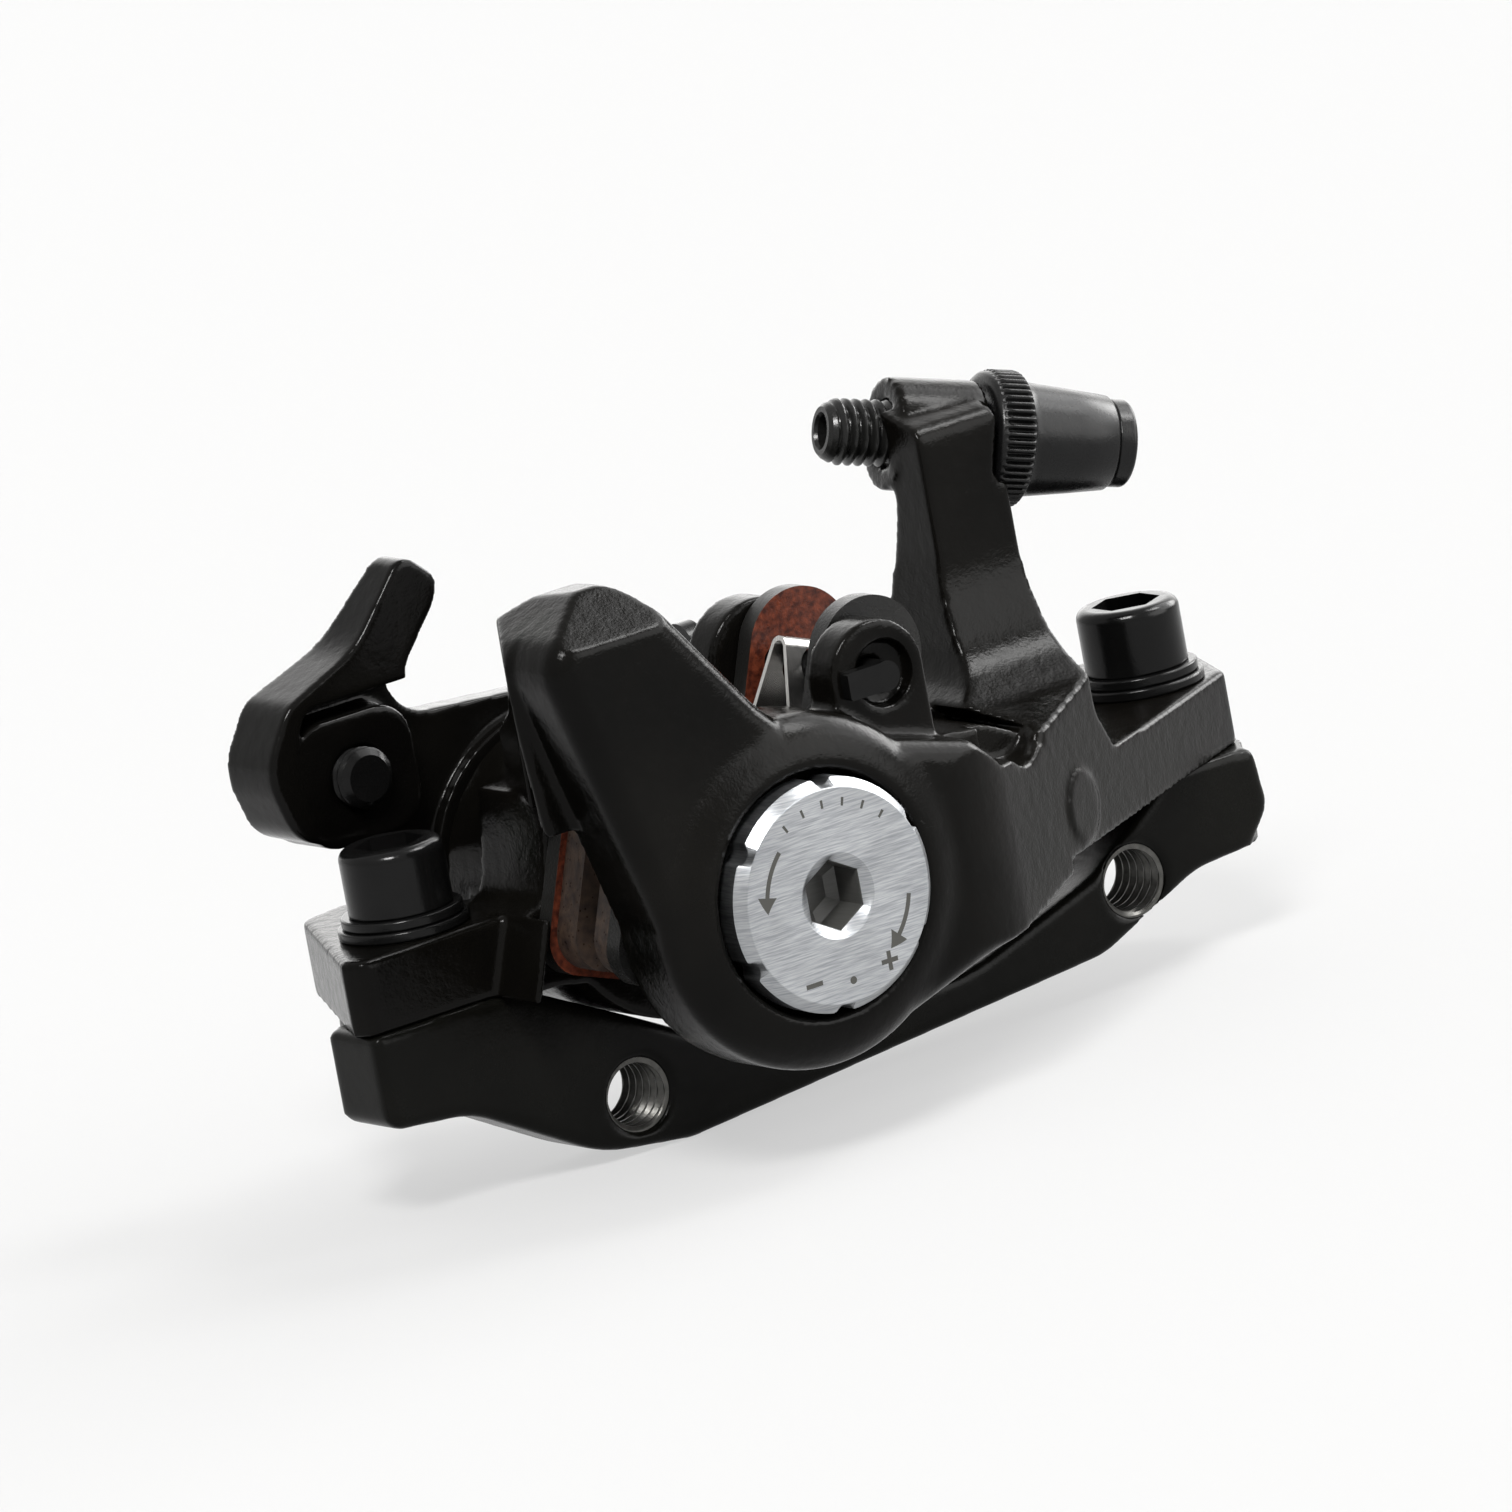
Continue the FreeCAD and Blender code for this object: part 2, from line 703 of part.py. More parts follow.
# Adapter bracket: one plate with two threaded mounting holes and two threaded posts
def adapter_bracket():
    body = new_body("adapter_bracket")
    front = value("web_front")
    top = value("post_top")
    pad(body, "web", front_view("web_front", "0"), draw_outline, corner_list("web"))
    soften(body, "front_edges", "0.7", lambda e, m: on_plane(e, "y", front) and m.z < top - 0.2)
    for side in ("left", "right"):
        pad(body, side + "_post", plan_view("post_top - 8", "post_top"), draw_circle,
            "post_" + side, "post_y", side + "_post")
    pocket(body, "front_trim", plan_view("-12", "post_top + 1"), draw_outline,
           block_corners("-60", "60", "web_front - 5", "web_front"))
    # The right post is cut flat beside the frame tab that carries the right mounting hole
    relief = block_corners("mount_x - 8", "mount_x + 4.4", "0", "12")
    pocket(body, "tab_relief", plan_view("-12", "post_top + 1"), draw_outline, relief)
    for side, sign in (("left", "-"), ("right", "")):
        pocket(body, side + "_thread", plan_view("post_top - post_depth", "post_top"), draw_circle,
               "post_" + side, "post_y", "post_bore")
        pocket(body, side + "_mount", front_view("web_front", "0"), draw_circle,
               sign + "mount_x", sign + "mount_rise", "mount_bore")
        pocket(body, side + "_mouth", front_view("web_front", "web_front + 0.4"), draw_circle,
               sign + "mount_x", sign + "mount_rise", "mount_mouth")
    return body


# Caliper body: head plate, tower, rear wall and housing, two ears and the cable stop, forged in one piece
def caliper_body():
    body = new_body("caliper_body")
    head = front_view("head_front", "slot_front")
    slot = front_view("slot_front", "slot_back")
    pad(body, "arm", side_view("0", "22"), draw_outline, corner_list("arm_side"))
    pocket(body, "arm_sides", front_view("-24", "0"), draw_around, corner_list("arm"))
    pad(body, "head_plate", head, draw_outline, corner_list("head"))
    pad(body, "head_disc", head, draw_circle, "pad_x", "pad_z", "head_round")
    front = value("head_front")
    soften(body, "head_edges", "forged_round", lambda e, m: on_plane(e, "y", front))
    pad(body, "tower", front_view("slot_front - 1", "0"), draw_outline, corner_list("tower"))
    pocket(body, "wide_arch", slot, draw_circle, "axle_x", "axle_z", "arch_wide")
    pad(body, "rear_wall", front_view("slot_back", "0"), draw_outline, corner_list("wall"))
    pocket(body, "tower_back_slope", side_view("-60", "0"), draw_outline, corner_list("tower_slope"))
    pocket(body, "tower_left_side", plan_view("tower_low", "60"), draw_outline, corner_list("tower_side"))
    pad(body, "right_bridge", front_view("slot_front - 1", "-3"), draw_outline, corner_list("bridge"))
    ears = plan_view("post_top", "post_top + ear_thick")
    pad(body, "left_ear", ears, draw_outline, corner_list("left_ear"))
    pad(body, "right_ear", ears, draw_outline, corner_list("right_ear"))
    pad(body, "housing", front_view("pocket_back", "housing_end"), draw_circle, "pad_x", "pad_z", "housing_round")
    pin_lug(body, "front_lug", front_view("front_lug_front", "slot_front"), "front_lug_round", "front_lug_low")
    pin_lug(body, "rear_lug", front_view("pocket_back", "rear_lug_back"), "rear_lug_round", "rear_lug_low")
    along_line(body, "Pad", "stop_boss", barrel_point("stop_start"), BARREL_LINE, "stop_radius", "stop_long")

    # Cuts: slanted front, rotor slot and pad pocket
    pocket(body, "slanted_front", plan_view("0", "30"), draw_outline, corner_list("slant"))
    pocket(body, "scoop", front_view("head_front", "slot_front + 1"), draw_circle,
           "scoop_x", "scoop_z", "scoop_radius")
    mark = V(value("mark_x"), value("mark_y"), value("mark_z")) - SLANT_LINE
    along_line(body, "Pad", "cast_mark", mark, SLANT_LINE, "mark_radius", "1 + mark_raised")
    pocket(body, "rotor_slot", front_view("rotor_front", "rotor_back"), draw_circle,
           "axle_x", "axle_z", "arch_near")
    half = "pad_half + pad_play"
    pocket(body, "pad_pocket", front_view("slot_front", "pocket_back"), draw_outline,
           block_corners("-(%s)" % half, half, "-40", "40"), centre=("pad_x", "pad_z"), turn="-pad_tilt")

    # Bores of the adjuster, the rear mechanism, the bolts, the pin and the barrel
    axis = ("pad_x", "pad_z")
    recess = "head_front + recess_depth"
    pocket(body, "adjuster_bore", head, draw_circle, *axis, "plug_radius + thread_play")
    pocket(body, "adjuster_recess", front_view("head_front", recess), draw_circle, *axis, "disc_recess")
    pocket(body, "seal_groove", front_view("head_front", recess + " + seal_thick"), draw_circle,
           *axis, "seal_outer + running")
    pocket(body, "chamber", front_view("slot_back", "chamber_end"), draw_circle, *axis, "chamber")
    pocket(body, "bush_bore", front_view("chamber_end - 1", "housing_end"), draw_circle,
           *axis, "bush_outer + running")
    pocket(body, "seal_seat", front_view("housing_end - seal_depth", "housing_end"), draw_circle,
           *axis, "seal_bore + running")
    for side in ("left", "right"):
        post = "post_" + side
        corners = block_corners(post + " - ear_slot", post + " + ear_slot", "post_y - ear_slot_travel - ear_slot",
                                "post_y + ear_slot_travel + ear_slot", "ear_slot - 0.02")
        pocket(body, side + "_bolt_slot", ears, draw_outline, corners)
    pocket(body, "pin_hole", front_view("head_front", "0"), draw_circle, "pin_x", "pin_z", "pin_radius + pin_play")
    pocket(body, "pin_recess", front_view("front_lug_front", "front_lug_front + pin_recess_deep"), draw_circle,
           "pin_x + 0.6", "pin_z", "pin_recess_radius")
    knob_side = barrel_point("stop_start + stop_long")
    along_line(body, "Pocket", "spot_face", knob_side, BARREL_LINE, "spot_face", "spot_long")
    along_line(body, "Pocket", "stop_bore", barrel_point("stop_start - 2"), BARREL_LINE,
               "screw_radius + thread_play", "stop_long + 2")
    return body


def pin_lug(body, name, view, rounding, low):
    """Lug round the pad pin with a rounded top, standing on the body."""
    left = "pin_x - " + rounding
    right = "pin_x + " + rounding
    top = "pin_z + " + rounding
    corners = [(left, low, None), (right, low, None), (right, top, rounding + " - 0.02"), (left, top, rounding + " - 0.02")]
    pad(body, name, view, draw_outline, corners)


def barrel_point(along):
    """Point on the barrel adjuster's axis."""
    return V(value("barrel_x"), value("barrel_y"), value("barrel_z")) + BARREL_LINE * value(along)


def along_line(body, kind, name, start, line, radius, length):
    """Round pad or pocket that starts at a point and runs along a slanted line."""
    sketch = plane_sketch(body, name + "_sketch", "XY_Plane", "0")
    sketch.setExpression("AttachmentOffset.Base.z", None)
    sketch.AttachmentOffset = FreeCAD.Placement(start, FreeCAD.Rotation(V(0, 0, 1), line))
    draw_circle(sketch, "0", "0", radius)
    feature = body.newObject("PartDesign::" + kind, name)
    feature.Profile = sketch
    bind(feature, "Length", length)
    feature.Reversed = kind == "Pocket"
    before = body.Shape.Volume
    doc.recompute()
    if (body.Shape.Volume > before) != (kind == "Pad"):
        raise ValueError("%s changes nothing" % name)


# Fastener of one ear, built up from the washers' top
def fixing_bolt(side):
    low = "-(2 * washer_thick + ear_thick + bolt_reach)"
    body = turned("fixing_bolt_" + side, [
        ("0", "bolt_head_tall", None), ("bolt_head", "bolt_head_tall", "bolt_edge"), ("bolt_head", "0", "0.15"),
        ("bolt_shank", "0", None), ("bolt_shank", low, "0.4"), ("0", low, None)])
    pocket(body, "socket", plan_view("bolt_head_tall - 3", "bolt_head_tall"), draw_hexagon, "socket_five")
    place(body, "post_" + side, "post_y", "post_top + ear_thick + 2 * washer_thick + seating")
    return body


def washer(label, side, outer, level):
    """Plain washer of the stack under one bolt head."""
    body = turned(label + "_" + side, ring_profile("washer_bore", outer, "0", "washer_thick", "0.2"))
    place(body, "post_" + side, "post_y", level)
    return body


# Pad adjuster: silver disc with a hexagon socket and six rim notches on a threaded plug
def pad_adjuster():
    front = "-disc_front"
    back = "-disc_front - disc_thick"
    tip = "-fixed_back + seating"
    body = turned("pad_adjuster", [
        ("0", front, None), ("disc_radius", front, "0.35"), ("disc_radius", back, None), ("plug_radius", back, None),
        ("plug_radius", tip, "0.4"), ("0", tip, None)])
    pocket(body, "socket", plan_view(front + " - 4", front), draw_hexagon, "socket_five")
    notch = pocket(body, "notch", plan_view(back, front), draw_circle, "disc_radius + 0.35", "0", "notch_radius")
    round_axis(body, "notches", notch, 6)
    place(body, "pad_x", "0", "pad_z", TO_FRONT)
    return body


def adjuster_seal():
    """Rubber ring round the plug that keeps the adjuster from turning by itself."""
    body = turned("adjuster_seal", ring_profile("plug_radius + 0.1", "seal_outer", "0", "seal_thick - seating", "0.3"))
    place(body, "pad_x", "head_front + recess_depth + seal_thick", "pad_z", TO_FRONT)
    return body


# Brake pads: a steel plate with a pin tab and its friction block each
def pad_piece(label, outline_name, front, thick):
    body = new_body(label)
    through = front_view(front, front + " + " + thick)
    pad(body, "blank", through, draw_outline, corner_list(outline_name))
    if outline_name == "pad":
        pocket(body, "pin_hole", through, draw_circle, "pin_t", "pin_r", "pin_radius + pin_play")
    place(body, "pad_x", "0", "pad_z", FreeCAD.Rotation(V(0, 1, 0), value("pad_tilt")))
    return body


def pad_spring():
    """Thin strip folded over the pin that spreads the two pads."""
    body = new_body("pad_spring")
    inner_high = "strip_high - 3.3 * strip_thick"
    corners = [
        ("strip_front", "strip_low", None), ("strip_fold", "strip_high", "strip_bend"),
        ("strip_back", "strip_low", None), ("strip_back - 1.05 * strip_thick", "strip_low", None),
        ("strip_fold", inner_high, "strip_bend - strip_thick"), ("strip_front + 1.05 * strip_thick", "strip_low", None)]
    half = "strip_wide / 2"
    pad(body, "strip", side_view("pin_t - " + half, "pin_t + " + half), draw_outline, corners)
    pocket(body, "pin_hole", front_view("strip_front", "strip_back"), draw_circle,
           "pin_t", "pin_r", "pin_radius + 0.35")
    place(body, "pad_x", "0", "pad_z", FreeCAD.Rotation(V(0, 1, 0), value("pad_tilt")))
    return body


def retaining_pin():
    """Split pin with an eye behind the rear lug and its front end bent over to the left."""
    body = new_body("retaining_pin")
    back = "front_lug_front - 0.05"
    tip = back + " - pin_hook_thick"
    pad(body, "shank", front_view(tip, "0"), draw_circle, "0", "0", "pin_radius")
    pad(body, "bent_end", front_view(tip, back), draw_outline,
        block_corners("-pin_hook_long", "0.4", "-pin_radius + 0.1", "pin_radius - 0.1", "0.25"))
    eye = side_view("-pin_eye_half", "pin_eye_half")
    pad(body, "eye", eye, draw_circle, "pin_eye - 0.9", "0", "pin_eye")
    pocket(body, "eye_hole", eye, draw_circle, "pin_eye - 0.7", "0", "pin_eye_hole")
    place(body, "pin_x", "0", "pin_z")
    return body


# Rear mechanism: turning shaft, balls and the foot that they press on the moving pad
def pressure_foot():
    body = turned("pressure_foot", [
        ("0", "-moving_back - seating", None), ("foot_radius", "-moving_back - seating", "0.4"),
        ("foot_radius", "-foot_back + 1.6", None), ("ramp_radius", "-foot_back + 1.6", None),
        ("ramp_radius", "-foot_back", None), ("0", "-foot_back", None)])
    add_ball_track(body, "-foot_back")
    place(body, "pad_x", "0", "pad_z", TO_FRONT)
    return body


def add_ball_track(body, face):
    """Round track that the balls run in, cut a little into one face."""
    half = "ball_radius * 0.62"
    corners = [("ball_ring - " + half, face + " - 0.45", "0.3"), ("ball_ring + " + half, face + " - 0.45", "0.3"),
               ("ball_ring + " + half, face + " + 0.45", "0.3"), ("ball_ring - " + half, face + " + 0.45", "0.3")]
    add_turned(body, "Groove", "ball_track", corners)


def actuator_shaft():
    body = turned("actuator_shaft", [
        ("0", "-ramp_front", None), ("ramp_radius", "-ramp_front", "0.3"), ("ramp_radius", "-ramp_back", "0.3"),
        ("shaft_radius", "-ramp_back", None), ("shaft_radius", "-shaft_end", "0.3"), ("0", "-shaft_end", None)])
    add_ball_track(body, "-ramp_front")
    pocket(body, "flats", plan_view("-shaft_end", "-(hub_front - seating)"), draw_flats, "shaft_flats",
           "shaft_radius + 1")
    pocket(body, "screw_bore", plan_view("-shaft_end", "1"), draw_circle, "0", "0", "lever_screw + running")
    place(body, "pad_x", "0", "pad_z", TO_FRONT)
    return body


def ramp_balls():
    """Three steel balls, one third of a turn apart, in one node."""
    balls = []
    for number in range(3):
        ball = doc.addObject("Part::Sphere", "ball_%d" % (number + 1))
        bind(ball, "Radius", "ball_radius")
        angle = 90 + 120 * number
        bind(ball, "Placement.Base.x", "pad_x + ball_ring * cos(%d)" % angle)
        bind(ball, "Placement.Base.y", "ball_centre")
        bind(ball, "Placement.Base.z", "pad_z + ball_ring * sin(%d)" % angle)
        balls.append(ball)
    group = doc.addObject("Part::Compound", "ramp_balls")
    group.Links = balls
    group.Label = "ramp_balls"
    doc.recompute()
    return group


def ball_cage():
    half = "cage_thick / 2"
    body = turned("ball_cage", ring_profile("ball_ring - 2.2", "ramp_radius - 0.15", "-(%s)" % half, half, "0.15"))
    hole = pocket(body, "ball_hole", plan_view("-(%s)" % half, half), draw_circle,
                  "0", "ball_ring", "ball_radius + running")
    round_axis(body, "ball_holes", hole, 3)
    place(body, "pad_x", "ball_centre", "pad_z", TO_FRONT)
    return body


def plain_ring(label, inner, outer, near, far, edge="0.15"):
    """Ring round the caliper's main axis between two Y values."""
    body = turned(label, ring_profile(inner, outer, "-(%s)" % far, "-(%s)" % near, edge))
    place(body, "pad_x", "0", "pad_z", TO_FRONT)
    return body


def return_spring():
    """Coil in the lever's hub that pulls the lever back."""
    body = new_body("return_spring")
    sketch = plane_sketch(body, "wire_sketch", "XZ_Plane", "0")
    draw_circle(sketch, "coil_radius", "0", "coil_wire")
    coil = body.newObject("PartDesign::AdditiveHelix", "coil")
    coil.Profile = sketch
    coil.ReferenceAxis = (sketch, ["V_Axis"])
    coil.Mode = 0
    bind(coil, "Pitch", "coil_pitch")
    bind(coil, "Height", "coil_tall")
    doc.recompute()
    place(body, "pad_x", "hub_front + coil_wire + 0.1", "pad_z", TO_BACK)
    return body


# Lever arm: hub, arm, hooked cable rim and horn in one forging
def lever_arm():
    body = new_body("lever_arm")
    axis = ("pad_x", "pad_z")
    anchor = ("anchor_x", "anchor_z")
    pad(body, "blank", front_view("horn_front", "horn_back"), draw_outline, corner_list("lever"))
    hollow = corner_list("lever_hollow")
    pocket(body, "front_hollow", front_view("horn_front", "lever_front"), draw_outline, hollow)
    pocket(body, "back_hollow", front_view("lever_back", "horn_back"), draw_outline, hollow)
    pocket(body, "horn_back_slope", side_view("-50", "-25"), draw_outline, corner_list("horn_back_slope"))
    pad(body, "hub", front_view("hub_front", "hub_back"), draw_circle, *axis, "hub_round")
    pad(body, "boss", front_view("boss_front", "lever_back"), draw_outline, corner_list("anchor_boss"), centre=anchor)
    pocket(body, "anchor_bore", front_view("boss_front", "horn_back"), draw_circle, *anchor, "anchor_radius + running")
    pocket(body, "shaft_hole", front_view("hub_front", "hub_back"), draw_hexagon, "shaft_flats + 0.1", centre=axis)
    ring = front_view("hub_front", "spring_recess")
    add_ring_recess(body, ring)
    return body


def add_ring_recess(body, view):
    """Round recess for the return spring in the hub's front face."""
    plane, offset, depth = view
    sketch = plane_sketch(body, "spring_recess_sketch", plane, offset)
    draw_circle(sketch, "pad_x", "pad_z", "recess_inner")
    draw_circle(sketch, "pad_x", "pad_z", "recess_outer")
    feature = body.newObject("PartDesign::Pocket", "spring_recess")
    feature.Profile = sketch
    feature.Reversed = True
    bind(feature, "Length", depth)
    before = body.Shape.Volume
    doc.recompute()
    if body.Shape.Volume >= before:
        raise ValueError("spring recess cuts nothing")


def lever_bolt():
    head = "-(hub_back + lever_washer_thick + 2 * seating)"
    top = head + " - lever_screw_tall"
    body = turned("lever_bolt", [
        ("0", "-ramp_back - 1", None), ("lever_screw", "-ramp_back - 1", "0.3"), ("lever_screw", head, None),
        ("lever_screw_head", head, "0.2"), ("lever_screw_head", top, "0.5"), ("0", top, None)])
    pocket(body, "socket", plan_view(top, top + " + 2.2"), draw_hexagon, "4")
    place(body, "pad_x", "0", "pad_z", TO_FRONT)
    return body


def anchor_bolt():
    """Bolt that clamps the cable behind the lever, its threaded end shows in front."""
    head = "-(horn_back + clamp_thick + 2 * seating)"
    top = head + " - anchor_head_tall"
    body = turned("anchor_bolt", [
        ("0", "-anchor_front", None), ("anchor_radius", "-anchor_front", "0.5"), ("anchor_radius", head, None),
        ("anchor_head", head, "0.2"), ("anchor_head", top, "0.4"), ("0", top, None)])
    pocket(body, "socket", plan_view(top, top + " + 2.2"), draw_hexagon, "4")
    place(body, "anchor_x", "0", "anchor_z", TO_FRONT)
    return body


def clamp_washer():
    body = turned("clamp_washer", ring_profile("anchor_radius + 0.1", "clamp_round", "0", "clamp_thick", "0.2"))
    place(body, "anchor_x", "horn_back + seating", "anchor_z", TO_BACK)
    return body


# Barrel adjuster: hollow screw, knurled knob with its cone, and the ferrule that takes the cable housing
def barrel_screw():
    body = turned("barrel_screw", ring_profile("cable_bore", "screw_radius", "0", "screw_end", "0.35"))
    place(body, "barrel_x", "barrel_y", "barrel_z", ALONG_BARREL)
    return body


def barrel_knob():
    shoulder = "knob_start + knurl_wide"
    deep = "screw_end + seating"
    body = turned("barrel_knob", [
        ("screw_radius + running", "knob_start", None), ("knurl_radius", "knob_start", "0.4"),
        ("knurl_radius", shoulder, "0.4"), ("cone_big", shoulder + " + 0.2", "0.2"), ("cone_small", "knob_end", "0.2"),
        ("ferrule_body + running", "knob_end", None), ("ferrule_body + running", deep, None),
        ("screw_radius + running", deep, None)])
    place(body, "barrel_x", "barrel_y", "barrel_z", ALONG_BARREL)
    return body


def housing_ferrule():
    body = turned("housing_ferrule", [
        ("cable_bore", "screw_end + 3 * seating", None), ("ferrule_body", "screw_end + 3 * seating", None),
        ("ferrule_body", "knob_end + seating", None), ("ferrule_lip", "knob_end + seating", "0.2"),
        ("ferrule_lip", "ferrule_end", "0.4"), ("housing_bore", "ferrule_end", "0.2"),
        ("housing_bore", "ferrule_end - housing_deep", None), ("cable_bore", "ferrule_end - housing_deep", None)])
    place(body, "barrel_x", "barrel_y", "barrel_z", ALONG_BARREL)
    return body


nodes = [caliper_body(), adapter_bracket()]
for side in ("left", "right"):
    nodes.append(fixing_bolt(side))
    nodes.append(washer("lower_washer", side, "lower_washer", "post_top + ear_thick"))
    nodes.append(washer("upper_washer", side, "upper_washer", "post_top + ear_thick + washer_thick + seating / 2"))
nodes.append(pad_adjuster())
nodes.append(adjuster_seal())
nodes.append(pad_piece("fixed_pad_plate", "pad", "fixed_back", "plate_thick"))
nodes.append(pad_piece("fixed_pad_friction", "friction", "fixed_back + plate_thick", "friction_thick"))
nodes.append(pad_piece("moving_pad_friction", "friction", "moving_back - plate_thick - friction_thick",
                       "friction_thick"))
nodes.append(pad_piece("moving_pad_plate", "pad", "moving_back - plate_thick", "plate_thick"))
nodes.append(pad_spring())
nodes.append(retaining_pin())
nodes.append(pressure_foot())
nodes.append(ramp_balls())
nodes.append(ball_cage())
nodes.append(actuator_shaft())
nodes.append(plain_ring("thrust_washer", "shaft_radius + 0.1", "ramp_radius - 0.1",
                        "ramp_back + seating", "chamber_end - seating"))
nodes.append(plain_ring("shaft_bush", "shaft_radius + running", "bush_outer", "chamber_end + 0.1",
                        "housing_end - seal_depth - 0.05"))
nodes.append(plain_ring("dust_seal", "shaft_radius + running", "seal_bore", "housing_end - seal_depth + seating",
                        "housing_end + 0.3"))
nodes.append(return_spring())
nodes.append(lever_arm())
nodes.append(plain_ring("lever_washer", "lever_screw + 0.1", "lever_washer_round", "hub_back + seating",
                        "hub_back + lever_washer_thick + seating"))
nodes.append(lever_bolt())
nodes.append(clamp_washer())
nodes.append(anchor_bolt())
nodes.append(barrel_screw())
nodes.append(barrel_knob())
nodes.append(housing_ferrule())

doc.recompute()
for thing in doc.Objects:
    if "Invalid" in thing.State or "Error" in thing.State:
        raise ValueError("%s is in error" % thing.Label)
for node in nodes:
    if node.Shape.isNull() or not node.Shape.isValid():
        raise ValueError("%s has no valid shape" % node.Label)
os.makedirs("parts", exist_ok=True)
for node in nodes:
    node.Shape.exportStep(os.path.join("parts", node.Label + ".step"))
    print(node.Label, len(node.Shape.Solids), round(node.Shape.Volume, 1))
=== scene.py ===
import math

import bmesh
import bpy
import numpy as np
from mathutils import Matrix, Vector


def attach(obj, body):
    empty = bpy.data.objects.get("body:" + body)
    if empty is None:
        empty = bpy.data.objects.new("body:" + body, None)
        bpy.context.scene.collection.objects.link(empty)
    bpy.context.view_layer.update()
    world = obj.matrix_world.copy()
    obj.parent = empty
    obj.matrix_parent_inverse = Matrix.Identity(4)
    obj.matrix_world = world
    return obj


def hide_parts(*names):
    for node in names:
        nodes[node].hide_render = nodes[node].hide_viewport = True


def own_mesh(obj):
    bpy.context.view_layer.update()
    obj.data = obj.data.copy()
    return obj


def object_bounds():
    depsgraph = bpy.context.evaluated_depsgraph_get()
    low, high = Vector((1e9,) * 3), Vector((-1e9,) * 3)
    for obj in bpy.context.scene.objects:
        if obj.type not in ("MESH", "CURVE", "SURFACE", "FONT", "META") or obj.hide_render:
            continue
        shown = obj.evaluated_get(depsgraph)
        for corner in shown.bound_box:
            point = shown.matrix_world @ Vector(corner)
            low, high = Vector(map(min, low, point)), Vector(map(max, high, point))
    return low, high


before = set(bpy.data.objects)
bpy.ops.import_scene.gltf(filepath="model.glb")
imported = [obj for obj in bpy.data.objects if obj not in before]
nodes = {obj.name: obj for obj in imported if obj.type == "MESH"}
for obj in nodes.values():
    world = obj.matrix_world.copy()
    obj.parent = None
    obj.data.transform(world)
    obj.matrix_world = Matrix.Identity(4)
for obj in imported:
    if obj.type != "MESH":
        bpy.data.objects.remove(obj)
cad_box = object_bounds()

# Adapter bracket: a forged aluminium plate under satin black powder paint, milled on the tops of its two
# posts and tapped M6 through its web for the two bolts of the fork or frame. The mounting bolts pull it flat
# against the frame, and its posts carry the caliper.


def add_node(tree, kind, links=None, values=None, **settings):
    """One shader node with its settings, fixed values and incoming links."""
    node = tree.nodes.new(kind)
    for key, setting in settings.items():
        setattr(node, key, setting)
    for key, amount in (values or {}).items():
        node.inputs[key].default_value = amount
    for key, (source, output) in (links or {}).items():
        tree.links.new(source.outputs[output], node.inputs[key])
    return node


def new_group(name, inputs, outputs):
    """Empty shader node group. An input is a float, a vector where its default has three parts or a colour where
    it has four."""
    group = bpy.data.node_groups.new(name, "ShaderNodeTree")
    kinds = {3: "NodeSocketVector", 4: "NodeSocketColor"}
    for label, default in inputs.items():
        kind = kinds[len(default)] if isinstance(default, tuple) else "NodeSocketFloat"
        socket = group.interface.new_socket(label, in_out="INPUT", socket_type=kind)
        socket.default_value = default
    for label, kind in outputs.items():
        group.interface.new_socket(label, in_out="OUTPUT", socket_type=kind)
    return group, group.nodes.new("NodeGroupInput"), group.nodes.new("NodeGroupOutput")


def mixed_colour(tree, share, first, second):
    """Output of a colour mix: first where the share is 0 and second where it is 1. Each colour is an output or
    four fixed parts."""
    mix = add_node(tree, "ShaderNodeMix", data_type="RGBA")
    tree.links.new(share, mix.inputs["Factor"])
    sockets = {socket.name: socket for socket in mix.inputs if socket.type == "RGBA"}
    for label, colour in (("A", first), ("B", second)):
        if isinstance(colour, tuple):
            sockets[label].default_value = colour
        else:
            tree.links.new(colour, sockets[label])
    return [socket for socket in mix.outputs if socket.type == "RGBA"][0]


